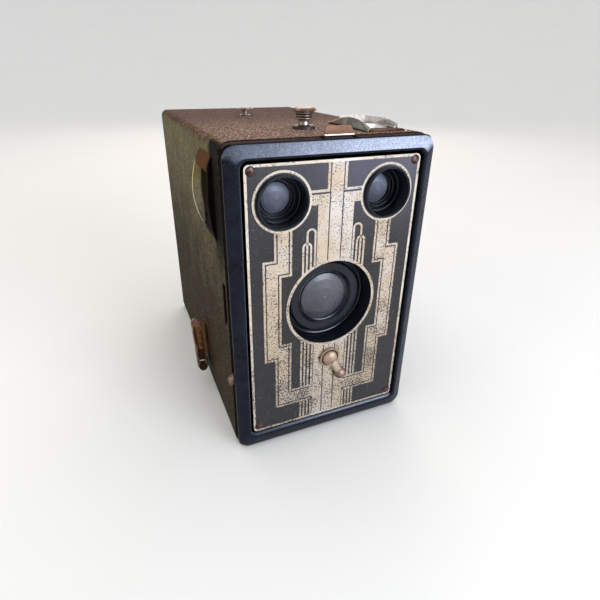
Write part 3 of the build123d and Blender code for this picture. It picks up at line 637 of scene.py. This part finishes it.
def staircase_bars():
    """Bars of one half of the stepped pattern, as (x0, x1, z0, z1) above the plate's lower edge."""
    ring = FINDERS[1].z - PLATE_LOW.z
    bars = [
        # middle band, side band and the lines at the top
        (0, 2.6, 0, PLATE_TOP), (3.1, 7.75, 0, 107.84), (3.1, 4.1, 108.6, PLATE_TOP),
        (4.1, 22.0, 108.6, 109.6), (7.75, 22.0, 103.75, 107.84),
        # outer thin line
        (24.9, 25.8, 83.6, ring), (24.9, 30.6, 82.65, 83.6), (29.7, 30.6, 37.7, 82.65),
        (24.9, 30.6, 36.7, 37.7), (24.9, 25.8, 11.7, 36.7), (8.97, 25.8, 10.65, 11.6),
        # inner thin line
        (18.4, 19.3, 77.0, ring), (18.4, 23.8, 76.05, 77.0), (22.9, 23.8, 44.5, 76.05),
        (18.4, 23.8, 43.55, 44.5), (18.4, 19.3, 19.1, 43.55), (8.13, 19.3, 18.15, 19.1),
        # thick band between them
        (19.85, 24.35, 82.1, ring), (19.85, 29.2, 77.55, 82.1), (24.35, 29.2, 43.0, 77.55),
        (19.85, 29.2, 38.2, 43.0), (19.85, 24.35, 17.6, 38.2), (7.75, 24.35, 12.2, 17.6),
    ]
    centre = LENS.z - PLATE_LOW.z
    for left, right, spring in ARCHES:
        for line in (left, right):
            for foot, head in ((centre, spring), (LOW_BAND, centre), (0, LINE_FOOT)):
                bars.append((line - THIN / 2, line + THIN / 2, foot, head))
    return bars


def clipped(bar, centre, radius):
    """Outlines left of a bar when a circle is cut from it, stepping finely along its edges."""
    x0, x1, z0, z1 = bar
    cx, cz = centre
    near_x = min(max(cx, x0), x1)
    near_z = min(max(cz, z0), z1)
    if (near_x - cx) ** 2 + (near_z - cz) ** 2 >= radius ** 2:
        return [[(x0, z0), (x1, z0), (x1, z1), (x0, z1)]]
    upright = z1 - z0 > x1 - x0
    steps = max(2, int((x1 - x0 if upright else z1 - z0) / 0.2))
    pieces = []
    if upright:
        xs = [x0 + (x1 - x0) * k / steps for k in range(steps + 1)]
        rise = [sqrt(max(radius ** 2 - (x - cx) ** 2, 0)) for x in xs]
        above = [(x, max(cz + r, z0)) for x, r in zip(xs, rise)]
        below = [(x, min(cz - r, z1)) for x, r in zip(xs, rise)]
        if z1 > cz + min(rise):
            pieces.append(above + [(x1, z1), (x0, z1)])
        if z0 < cz - min(rise):
            pieces.append([(x0, z0), (x1, z0)] + below[::-1])
    else:
        zs = [z0 + (z1 - z0) * k / steps for k in range(steps + 1)]
        reach = [sqrt(max(radius ** 2 - (z - cz) ** 2, 0)) for z in zs]
        inner = [(cx - r, z) for r, z in zip(reach, zs)]
        pieces.append([(x0, z1), (x0, z0)] + inner)
    return pieces


def pattern(shape):
    """The cream inlay: every bar on both sides, cut back to the rings round the glasses."""
    base = PLATE_LOW.z
    lens_hole = ((0, LENS.z - base), LENS_RING[1])
    finder_hole = ((FINDERS[1].x, FINDERS[1].z - base), FINDER_RING[1])
    for bar in staircase_bars():
        tall = bar[3] - bar[2] > bar[1] - bar[0]
        hole = finder_hole if bar[3] > 100 and bar[1] > 15 and bar[0] < 26 else lens_hole
        if bar[2] < BORDER < bar[3] and bar[1] < 20 and tall:
            bar = (bar[0], bar[1], BORDER, bar[3])
        if bar[3] > PLATE_TOP - BORDER and bar[1] < 20 and tall:
            bar = (bar[0], bar[1], bar[2], PLATE_TOP - BORDER)
        for outline in clipped(bar, *hole):
            for side in (-1, 1):
                placed = [(side * u, v + base) for u, v in outline]
                prism(shape, placed, in_front, INLAY_DEPTH)


def arc_band(shape, centre, inner, outer, stop, steps):
    """Flat ring, or part of one, as thick as the inlay."""
    for k in range(steps):
        a, b = (stop * n / steps for n in (k, k + 1))
        corners = [(outer, a), (outer, b), (inner, b), (inner, a)]
        outline = [(centre[0] + r * cos(t), centre[1] + r * sin(t)) for r, t in corners]
        prism(shape, outline, in_front, INLAY_DEPTH)


def rings_and_arches(shape):
    """Tan ring round the lens and the two small arches above it."""
    arc_band(shape, (0, LENS.z), *LENS_RING, 2 * pi, 144)
    for side in (-1, 1):
        for left, right, spring in ARCHES:
            middle = (side * (left + right) / 2, PLATE_LOW.z + spring)
            reach = (right - left) / 2
            arc_band(shape, middle, reach - THIN / 2, reach + THIN / 2, pi, 20)


def finder_rings(shape):
    for finder in FINDERS:
        arc_band(shape, (finder.x, finder.z), *FINDER_RING, 2 * pi, 96)


def border(shape):
    """Cream line round the edge of the plate, with rounded corners."""
    wide = rounded(PLATE_SIDE - 0.05, PLATE_LOW.z + 0.05, PLATE_HIGH.z - 0.05, 1.9)
    tight = rounded(PLATE_SIDE - BORDER, PLATE_LOW.z + BORDER, PLATE_HIGH.z - BORDER, 1.1)
    rings = []
    back, face = INLAY_DEPTH[1], INLAY_DEPTH[0]
    for outline, y in ((wide, back), (wide, face), (tight, face), (tight, back)):
        rings.append([shape.verts.new(in_front(x, z, y)) for x, z in outline])
    for k in range(4):
        bridge(shape, rings[k], rings[(k + 1) % 4])


def pin_heads(shape):
    """Four domed pins that hold the plate; each has a slightly flattened, hammered head."""
    low, high = low_of("plate_pins"), high_of("plate_pins")
    inset = (high.x - low.x) / 2 - 1.5
    face = PLATE_FACE - INLAY
    dome = ((0, 0.78), (0.7, 0.74), (1.2, 0.58), (1.6, 0.34), (1.85, 0.08), (1.9, -0.08), (0, -0.08))
    profile = [(radius, face - depth) for radius, depth in dome]
    for x in (-inset, inset):
        for z in (low.z + 1.5, high.z - 1.5):
            lathe(shape, profile, about_y(x, z), 28)


def front_plate():
    for name, maker, look in (("plate_border", border, "plate_border"),
                              ("finder_rings", finder_rings, "plate_border"),
                              ("plate_pattern", pattern, "plate_cream"),
                              ("plate_rings", rings_and_arches, "plate_cream")):
        add_piece(name, maker, look, "plate_enamel", "front_unit", smooth=False)
    add_piece("plate_pin_heads", pin_heads, "rusty_pin", "rusty_pin", "front_unit", instead="plate_pins")


# --- bezel ---
def rounded(half, low, high, corner, steps=10):
    """Outline of an upright rounded rectangle as (x, z) points."""
    outline = []
    middles = [(half - corner, high - corner, 0), (-half + corner, high - corner, 1),
               (-half + corner, low + corner, 2), (half - corner, low + corner, 3)]
    for x, z, quarter in middles:
        for k in range(steps + 1):
            angle = pi / 2 * (quarter + k / steps)
            outline.append((x + corner * cos(angle), z + corner * sin(angle)))
    return outline


def circle(x, z, radius, segments=64):
    return [(x + radius * cos(2 * pi * k / segments), z + radius * sin(2 * pi * k / segments))
            for k in range(segments)]


def bezel():
    """Pressed frame with a softly crowned face, and the pan behind the plate with its holes."""
    low, high = low_of("bezel"), high_of("bezel")
    front = low.y
    pan = PLATE_HIGH.y
    gap = 1.2
    inner = (PLATE_SIDE + gap, PLATE_LOW.z - gap, PLATE_HIGH.z + gap, 3.0)
    outer = (high.x, low.z, high.z, 5.5)
    crown = ((0, 2.9), (0.01, 2.5), (0.035, 2.15), (0.075, 1.88), (0.12, 1.68), (0.32, 1.18), (0.52, 0.68),
             (0.72, 0.18), (0.8, 0.03), (0.86, 0), (0.92, 0.08), (0.96, 0.28), (0.985, 0.6), (1, 0.95))
    section = [(0.21, high.y - 0.5), (0.21, high.y), (0.02, high.y), (0, high.y - 0.1)]
    section += [(share, front + depth) for share, depth in crown]
    section += [(1, pan), (1.4, pan)]

    def form(shape):
        outlines = []
        for share, y in section:
            sizes = [a + (b - a) * share for a, b in zip(outer, inner)]
            sizes[3] = max(sizes[3], 2.0)
            outlines.append([in_front(x, z, y) for x, z in rounded(*sizes)])
        loft(shape, outlines, capped=False)

    def sheet(shape):
        holes = [circle(0, LENS.z, 20.4, 96), circle(0, CLOSEUP_Z, 1.56, 24)]
        for finder in FINDERS:
            holes.append(circle(finder.x, finder.z, 10.26))
        edge = rounded(high.x - 1.3, low.z + 1.3, high.z - 1.3, 4.2)
        faces = []
        for y in (pan, pan + 0.8):
            edges = []
            loops = []
            for outline in [edge] + holes:
                loop = [shape.verts.new(in_front(x, z, y)) for x, z in outline]
                loops.append(loop)
                edges += [shape.edges.new(pair) for pair in zip(loop, loop[1:] + loop[:1])]
            bmesh.ops.triangle_fill(shape, use_beauty=True, use_dissolve=False, edges=edges)
            faces.append(loops)
        for front_loop, back_loop in zip(*faces):
            bridge(shape, front_loop, back_loop)

    enamelled = ("bezel_enamel", "bezel_enamel", "front_unit")
    add_piece("bezel_crowned", form, *enamelled, instead="bezel")
    add_piece("bezel_pan", sheet, *enamelled, smooth=False, instead="bezel")


# --- close-up lever ---
def closeup_lever():
    """Turned pivot with a rim and a groove, a short thick arm and a ball end."""
    front = low_of("closeup_lever").y
    back = high_of("closeup_lever").y
    lean = radians(30)
    direction = Vector((sin(lean), 0, -cos(lean)))
    sideways = Vector((cos(lean), 0, sin(lean)))
    pivot = Vector((0, 0, CLOSEUP_Z))
    ball = pivot + direction * 11.2

    def turn(shape, steps):
        profile = [(radius, back - depth) for radius, depth in steps]
        lathe(shape, profile, about_y(0, CLOSEUP_Z), 56)

    def cap(shape):
        turn(shape, ((0, 0), (4.75, 0), (4.88, 0.3), (4.88, 0.7), (4.65, 1.0), (4.3, 1.0), (4.02, 0.7),
                     (3.92, 0.35), (3.62, 0.35), (3.56, 0.75), (3.5, 1.1), (3.25, 1.6), (2.75, 2.0),
                     (2.0, 2.32), (1.0, 2.53), (0, 2.6)))
        stations = [(2.0, 1.75, -75.75, 0.45), (3.6, 1.7, -76.0, 0.75), (5.2, 1.62, -76.15, 0.95),
                    (6.8, 1.68, -76.3, 1.05), (8.0, 1.85, -76.45, 1.15), (9.2, 1.7, -76.5, 1.0)]
        outlines = []
        for along, half, y, thick in stations:
            centre = pivot + direction * along
            outline = []
            for k in range(24):
                u, v = squared(2 * pi * k / 24, 0.7)
                point = centre + sideways * half * u
                point.y = min(y - thick * v, back)
                outline.append(point * MM)
            outlines.append(outline)
        loft(shape, outlines)

    def groove(shape):
        turn(shape, ((3.5, 0.35), (3.5, 0.58), (3.75, 0.5), (4.12, 0.74), (4.12, 0.35), (3.5, 0.35)))

    def ball_end(shape):
        radius = 2.85
        centre_y = front + radius
        profile = [(0, centre_y + radius * sin(radians(50)))]
        for k in range(17):
            angle = radians(-50 + 140 * k / 16)
            profile.append((radius * cos(angle), centre_y - radius * sin(angle)))
        profile[-1] = (0, front)
        lathe(shape, profile, about_y(ball.x, ball.z), 44)

    # the groove is near-black: painted shade
    add_family("closeup_lever_", "copper_tab", "closeup", "closeup_lever",
               (("worn", cap, "lever_copper", 0), ("groove", groove, "key_dark", 0),
                ("ball", ball_end, "lever_ball", 0)))


# --- winding key ---
def winding_key():
    """Flat loop of strip with its ends rolled round pins, a web between, and the stem's washer."""
    centre = Vector((-48.8, mid("key_shaft").y, mid("key_shaft").z))
    tilt = radians(25)
    run = Vector((0, sin(tilt), cos(tilt)))
    wide = Vector((0, -cos(tilt), sin(tilt)))
    half = 11.9
    width = 2.95
    roll = 2.3
    gauge = 0.85

    def at(x, along, w):
        return (centre + Vector((x, 0, 0)) + run * along + wide * w) * MM

    def bar(shape, x0, x1, a0, a1, w):
        block(shape, x0, x1, a0, a1, at, (-w, w))

    def loop(shape):
        outer = -roll + gauge / 2
        path = [(outer, -half), (outer, -half / 2), (outer + 0.12, 0), (outer, half / 2), (outer, half)]
        for k in range(1, 31):
            angle = pi + 1.85 * pi * k / 30
            radius = (roll - gauge / 2) * (1 - 0.1 * k / 30)
            path.append((radius * cos(angle), half - radius * sin(angle)))
            path.insert(0, (radius * cos(angle), -half + radius * sin(angle)))
        rows = []
        for k, (x, along) in enumerate(path):
            ahead = path[min(k + 1, len(path) - 1)]
            behind = path[max(k - 1, 0)]
            lie = Vector((ahead[0] - behind[0], ahead[1] - behind[1])).normalized()
            rows.append([at(x - lie.y * side * gauge / 2, along + lie.x * side * gauge / 2, w * width)
                         for side, w in ((-1, -1), (1, -1), (1, 1), (-1, 1))])
        loft(shape, rows)
        bar(shape, 1.4, 2.25, -half, half, width)

    def web(shape):
        bar(shape, -1.05, 1.4, -2.6, half - 1.2, width - 0.2)

    def stem(shape):
        bar(shape, -1.3, 1.4, -8.4, -2.5, width - 0.9)

    def pin(shape, end):
        middle = at(0, end * half, 0)
        side = Vector((1, 0, 0))

        def spin(radius, along, angle):
            return middle + (side * radius * cos(angle) + run * radius * sin(angle) + wide * along) * MM
        lathe(shape, [(0, -width), (2.1, -width), (2.28, -width + 0.2), (2.28, width - 0.2), (2.1, width),
                      (0, width + 0.04)], spin, 36)

    # the lower pin and the stem are near-black: painted shade
    add_family("winding_key_", "key_metal", "winding_key", "winding_key",
               (("loop", loop, "key_metal", 0.12), ("web", web, "key_rust", 0.2),
                ("stem", stem, "key_dark", 0.2), ("pin_top", lambda shape: pin(shape, 1), "key_end", 0),
                ("pin_low", lambda shape: pin(shape, -1), "key_dark", 0)))


def key_boss():
    """Raised oval boss between the key and its escutcheon."""
    low, high = low_of("key_escutcheon"), high_of("key_escutcheon")
    centre = (low + high) / 2
    half_y = (high.y - low.y) / 2 - 0.7
    half_z = (high.z - low.z) / 2 - 0.9

    def oval(x, share):
        outline = []
        for k in range(64):
            u, v = squared(2 * pi * k / 64, 0.6)
            outline.append(Vector((x, centre.y + half_y * share * u, centre.z + half_z * share * v)) * MM)
        return outline

    def form(shape):
        levels = ((low.x + 0.4, 1.0), (low.x - 0.3, 1.0), (low.x - 0.62, 0.96), (low.x - 0.75, 0.88))
        loft(shape, [oval(*level) for level in levels])

    add_piece("key_boss", form, "key_plate", "key_metal", "case", bevel=0.1)


# --- knob ---
def knob():
    """Screw knob: waisted neck, three rounded beads and a head with a knurled rim."""
    low, high = low_of("lock_knob"), high_of("lock_knob")
    centre = (low + high) / 2
    top = high.z

    def spin(radius, along, angle):
        return Vector((centre.x + radius * cos(angle), centre.y + radius * sin(angle), along)) * MM

    def stem(shape):
        neck = ((1.75, 7.0), (2.5, 7.0), (2.5, 6.7), (2.32, 6.4), (2.28, 5.4), (2.36, 5.0))
        profile = [(0, low.z), (1.75, low.z)] + [(radius, top - below) for radius, below in neck]
        for bead in range(3):
            start = top - 4.85 + bead * 1.05
            for k in range(9):
                angle = radians(-80 + 160 * k / 8)
                profile.append((3.3 + 0.6 * cos(angle), start + 0.45 + 0.43 * sin(angle)))
            profile.append((3.0, start + 0.97))
        profile += [(3.0, top - 1.6), (0, top - 1.6)]
        lathe(shape, profile, spin, 72)

    def head(shape):
        notches = 46 * 4
        outlines = []
        for below, outer, depth in ((1.7, 4.65, 0), (1.55, 4.95, 0.1), (1.4, 5.08, 0.24), (0.62, 5.12, 0.24),
                                    (0.48, 5.0, 0.1), (0.36, 4.8, 0), (0.12, 4.1, 0), (0.02, 2.6, 0)):
            radii = [outer - (depth if k % 4 in (1, 2) else 0) for k in range(notches)]
            outlines.append([spin(radius, top - below, 2 * pi * k / notches)
                             for k, radius in enumerate(radii)])
        loft(shape, outlines)

    add_family("lock_knob_", "nickel", "lock_screw", "lock_knob",
               (("stem", stem, "nickel", 0), ("head", head, "knob_rim", 0)))


# --- finder hoods ---
class Hood:
    """Pressed hood over a finder window, in its own directions.

    s runs along the long sides, t across them and h away from the case; t is positive on the side
    away from the case's middle line for the top hood, and towards the front for the side hood.
    """

    def __init__(self, node, glass, along, across_hood, outward):
        low, high = low_of(node), high_of(node)
        size = high - low
        self.along = along
        self.across = across_hood
        self.outward = outward
        self.length = abs(size.dot(along)) / 2
        self.width = abs(size.dot(across_hood)) / 2
        self.rise = abs(size.dot(outward))
        self.foot = (low + high) / 2 - outward * self.rise / 2
        opening = (high_of(glass) - low_of(glass))
        self.hole = (abs(opening.dot(along)) / 2 - 0.6, abs(opening.dot(across_hood)) / 2 - 0.6)

    def at(self, s, t, h):
        return (self.foot + self.along * s + self.across * t + self.outward * h) * MM

    def wing(self, shape, side, crest, flare):
        """Crescent wing: crest(share) is its height, flare how far its edge turns outwards."""
        curve = ((0, 0.0), (0.12, 0.05), (0.35, 0.22), (0.62, 0.5), (0.85, 0.8), (1.0, 1.0))

        def point(share, inside, rise, out):
            t = self.width - 0.05 - flare * (1 - out) - inside * 0.5
            return self.at(self.length * 0.985 * share, side * t, max(crest(share), 0.3) * rise)
        shell(shape, curve, point, 44)

    def wall(self, shape, end, foot, top, height, t0, t1):
        """Wall across one end: from foot to top along s, rising to height, and back down inside."""
        sweep = []
        for k in range(9):
            turn = k / 8
            sweep.append((end * (foot + (top - foot) * turn), 0.15 + (height - 0.15) * sin(turn * pi / 2)))
        back = [(s - end * 0.45, h - 0.4 if h > 0.7 else 0.1) for s, h in reversed(sweep)]
        prism(shape, sweep + back, self.upright, (t0, t1))

    def upright(self, s, h, t):
        return self.at(s, t, h)

    def frame(self, shape, thick=0.7):
        """Flat flange round the window."""
        a, b = self.length - 1.0, self.width - 1.2
        s, t = self.hole
        for s0, s1, t0, t1 in ((-a, -s, -b, b), (s, a, -b, b), (-s, s, -b, -t), (-s, s, t, b)):
            block(shape, s0, s1, t0, t1, self.at, (0.03, thick))


def shell(shape, curve, point, steps):
    """Thin curved sheet with two skins.

    curve holds the (rise, out) stations up the sheet; point(share, inside, rise, out) places them.
    """
    outer, inner = [[[shape.verts.new(point(2 * k / steps - 1, inside, *station)) for station in curve]
                     for k in range(steps + 1)] for inside in (0, 1)]
    rows = len(curve)
    for k in range(steps):
        for r in range(rows - 1):
            shape.faces.new((outer[k][r], outer[k + 1][r], outer[k + 1][r + 1], outer[k][r + 1]))
            shape.faces.new((inner[k][r], inner[k][r + 1], inner[k + 1][r + 1], inner[k + 1][r]))
        for r in (0, rows - 1):
            shape.faces.new((outer[k][r], inner[k][r], inner[k + 1][r], outer[k + 1][r]))
    for k in (0, steps):
        for r in range(rows - 1):
            shape.faces.new((outer[k][r], outer[k][r + 1], inner[k][r + 1], inner[k][r]))


def height_at(points, share):
    """Height at share along a row of (share, height) points, in straight runs between them."""
    for (x0, y0), (x1, y1) in zip(points, points[1:]):
        if share <= x1:
            return y0 + (y1 - y0) * (share - x0) / (x1 - x0)
    return points[-1][1]


def top_hood():
    """Hood over the upper window: leaf-shaped near wing, long flat far wing and a wall behind."""
    hood = Hood("top_finder_hood", "top_finder_glass", Vector((0, -1, 0)), Vector((1, 0, 0)),
                Vector((0, 0, 1)))
    leaf = [(-1.0, 0.9), (-0.85, 1.6), (-0.6, 2.75), (-0.4, 3.5), (-0.2, 4.0), (0.0, 4.3), (0.2, 4.35),
            (0.4, 4.1), (0.6, 3.6), (0.8, 2.8), (0.92, 2.1), (1.0, 1.3)]
    rail = [(-1.0, 3.3), (-0.7, 3.5), (-0.2, 3.7), (0.1, 3.65), (0.2, 3.45), (0.62, 2.2), (0.66, 0.4),
            (1.0, 0.3)]
    width = hood.width
    length = hood.length

    def near_point(share, inside, rise, out):
        foot = 0.75 - 0.35 * max(share, 0)
        height = foot + (height_at(leaf, share) - foot) * rise
        return hood.at(length * 0.99 * share, -width + 0.05 + out + inside * 0.4, height)

    def near(shape):
        curve = ((0, 0.0), (0.2, 0.04), (0.45, 0.22), (0.7, 0.5), (0.88, 0.82), (1.0, 1.15))
        shell(shape, curve, near_point, 48)

    # the far wing and the wall take the brighter, lit copy of the hood metal: painted light
    def pressed(shape):
        hood.wing(shape, 1, lambda share: height_at(rail, share), 0.4)
        hood.wall(shape, -1, length - 3.8, length - 0.6, 3.55, -width + 5.0, width - 0.5)

    def flange(shape):
        hood.wall(shape, 1, length - 0.4, length - 3.0, 0.8, -width + 1.5, width - 0.8)
        hood.frame(shape)

    def gusset(shape):
        outline = [(-5.0, 0.9), (1.8, 3.2), (4.5, 2.8), (10.8, 1.7), (10.8, 0.5), (-5.0, 0.5)]
        prism(shape, outline, hood.upright, (width - 1.7, width - 1.3))

    # the fold takes the brighter, lit copy of the hood metal: painted light
    def fold(shape):
        block(shape, -5.0, 10.8, 0.5, 1.05, hood.upright, (width - 2.3, width - 1.7))

    # painted shadow: a thin black strip standing under the near wing's lower edge
    def under_wing_shadow(shape):
        outline = [(-length + 0.6, 0.05), (length - 0.9, 0.05), (length - 0.9, 0.55), (-length + 0.6, 0.85)]
        prism(shape, outline, hood.upright, (-width + 0.5, -width + 0.8))

    add_family("top_hood_", "hood_metal", "case", "top_finder_hood",
               (("near_wing", near, "hood_near", 0), ("pressed", pressed, "hood_bright", 0.1),
                ("flange", flange, "hood_brown", 0.1), ("gusset", gusset, "hood_panel", 0.1),
                ("fold", fold, "hood_bright", 0.1), ("under_wing_shadow", under_wing_shadow, "black_sheet", 0)))


def side_hood():
    """Hood over the side window: two crescents, with a sloping wall at the top and the bottom."""
    hood = Hood("side_finder_hood", "side_finder_glass", Vector((0, 0, 1)), Vector((0, -1, 0)),
                Vector((-1, 0, 0)))
    width = hood.width
    length = hood.length

    # the rear wing takes the darker, shaded copy of the hood metal: painted shade
    def rear(shape):
        hood.wing(shape, -1, lambda share: (hood.rise - 0.05) * (1 - share * share), 0.9)

    # painted highlight: a bright round strip along the rear wing's crest
    def edge(shape):
        outlines = []
        for k in range(29):
            share = -0.86 + 1.66 * k / 28
            crest = max((hood.rise - 0.3) * (1 - share * share), 0.3)
            thin = 0.24 * (1 - abs(share) ** 3)
            turns = [pi / 4 * n for n in range(8)]
            outlines.append([hood.at(length * 0.985 * share, 0.62 - width + thin * cos(turn),
                                     crest + thin * sin(turn)) for turn in turns])
        loft(shape, outlines)

    def wall(shape):
        hood.wall(shape, 1, length - 0.4, length - 6.2, 2.3, -width + 0.9, width - 0.9)

    # painted shade: the front wing, its end wall and the flat flange round the window are near-black
    def front(shape):
        hood.wing(shape, 1, lambda share: 2.4 * (1 - share * share) ** 0.7, 0.7)
        hood.wall(shape, -1, length - 0.2, length - 3.0, 0.5, -width + 0.9, width - 0.9)
        hood.frame(shape, 0.2)

    add_family("side_hood_", "hood_metal", "case", "side_finder_hood",
               (("rear_wing", rear, "hood_side", 0.1), ("painted_highlight_edge", edge, "edge_bright", 0),
                ("wall", wall, "rust_brown", 0.1), ("front", front, "hood_black", 0.1)))


# --- small visible additions ---
def retaining_rings():
    """Thin black rings inside the finder tubes and round the main lens."""
    def form(shape):
        for finder in FINDERS:
            for radius, y in ((9.05, -69.6), (7.6, -68.1), (6.35, -67.7)):
                profile = [(radius, y), (radius + 0.16, y - 0.28), (radius, y - 0.5), (radius - 0.3, y - 0.3),
                           (radius - 0.3, y), (radius, y)]
                lathe(shape, profile, about_y(finder.x, finder.z), 72)
        for radius, y in ((11.6, -67.6), (18.6, -67.0)):
            profile = [(radius, y), (radius + 0.3, y - 0.45), (radius, y - 0.8), (radius - 0.5, y - 0.5),
                       (radius - 0.5, y), (radius, y)]
            lathe(shape, profile, about_y(0, LENS.z), 96)

    add_piece("retaining_rings", form, "black_tube", "black_tube", "front_unit")


# --- camera, lights and floor ---
def camera():
    """Seen from the front left and above, close to the object."""
    data = bpy.data.cameras.new("view")
    data.sensor_width = 36
    data.lens = 25.98
    data.shift_x = 0.0118
    data.shift_y = -0.0297
    data.clip_start = 0.01
    item = in_scene("view", data)
    ahead = Vector((0.3483, 0.829, -0.4375)).normalized()
    up = Vector((0.1614, 0.4067, 0.8992))
    right = ahead.cross(up).normalized()
    up = right.cross(ahead)
    turn = Matrix((right, up, -ahead)).transposed().to_4x4()
    item.matrix_world = Matrix.Translation(Vector((-78.32, -218.69, 158.19)) * MM) @ turn
    bpy.context.scene.camera = item


def area_light(name, place, aim, size, power, colour):
    data = bpy.data.lights.new(name, "AREA")
    data.shape = "RECTANGLE"
    data.size, data.size_y = size
    data.energy = power
    data.color = colour
    item = in_scene(name, data)
    item.location = place
    item.rotation_euler = (Vector(aim) - Vector(place)).to_track_quat("-Z", "Y").to_euler()
    item.visible_camera = False
    return item


def studio():
    """Soft lamps, placed in metres; the sheen shows only in glossy surfaces."""
    area_light("window", (0.36, -0.86, 0.36), (0.0, -0.07, 0.09), (0.55, 0.4), 6.0, (0.86, 0.92, 1.0))
    sheen = area_light("sheen", (0.36, -0.8, 0.52), (0.0, -0.07, 0.12), (0.9, 0.5), 9.0, (0.7, 0.8, 1.0))
    sheen.visible_diffuse = False
    area_light("warm_back", (0.42, 1.00, 0.62), (0.0, 0.0, 0.12), (0.6, 0.5), 2.4, (1.0, 0.8, 0.66))
    area_light("left_soft", (-0.95, -0.1, 0.55), (0.0, 0.0, 0.08), (0.6, 0.5), 1.6, (1.0, 0.93, 0.66))
    area_light("overhead", (0.0, 0.5, 3.2), (0.0, 0.4, 0.0), (4.8, 4.8), 98.0, (1.0, 0.985, 0.96))
    world = bpy.data.worlds.new("studio")
    world.use_nodes = True
    background = world.node_tree.nodes["Background"]
    background.inputs["Color"].default_value = (0.94, 0.96, 1.0, 1)
    background.inputs["Strength"].default_value = 0.22
    bpy.context.scene.world = world
    bpy.context.scene.view_settings.view_transform = "Standard"


def floor():
    """Large plain pale sheet that curves up gently, far away on every side."""
    shape = bmesh.new()
    flat = 1.2
    profile = [(0, 0), (flat / 2, 0), (flat, 0)]
    for k in range(1, 15):
        out = 3.5 * k / 14
        profile.append((flat + out, 0.24 * out * out))
    centre = Vector((0, 0.4, 0))
    lathe(shape, profile, lambda r, z, a: centre + Vector((r * cos(a), r * sin(a), z)), 96)
    mesh = bpy.data.meshes.new("floor")
    shape.to_mesh(mesh)
    shape.free()
    mesh.shade_smooth()
    p = Paint("floor")
    pale = p.blend(p.noise(90, 3), (0.84, 0.84, 0.84), (0.87, 0.87, 0.87))
    mesh.materials.append(p.finished(Base_Color=pale, Roughness=0.7))
    in_scene("floor", mesh)


for build in (camera, dress_cad_nodes, front_plate, bezel, closeup_lever, winding_key, key_boss, knob,
              top_hood, side_hood, retaining_rings, studio, floor):
    build()
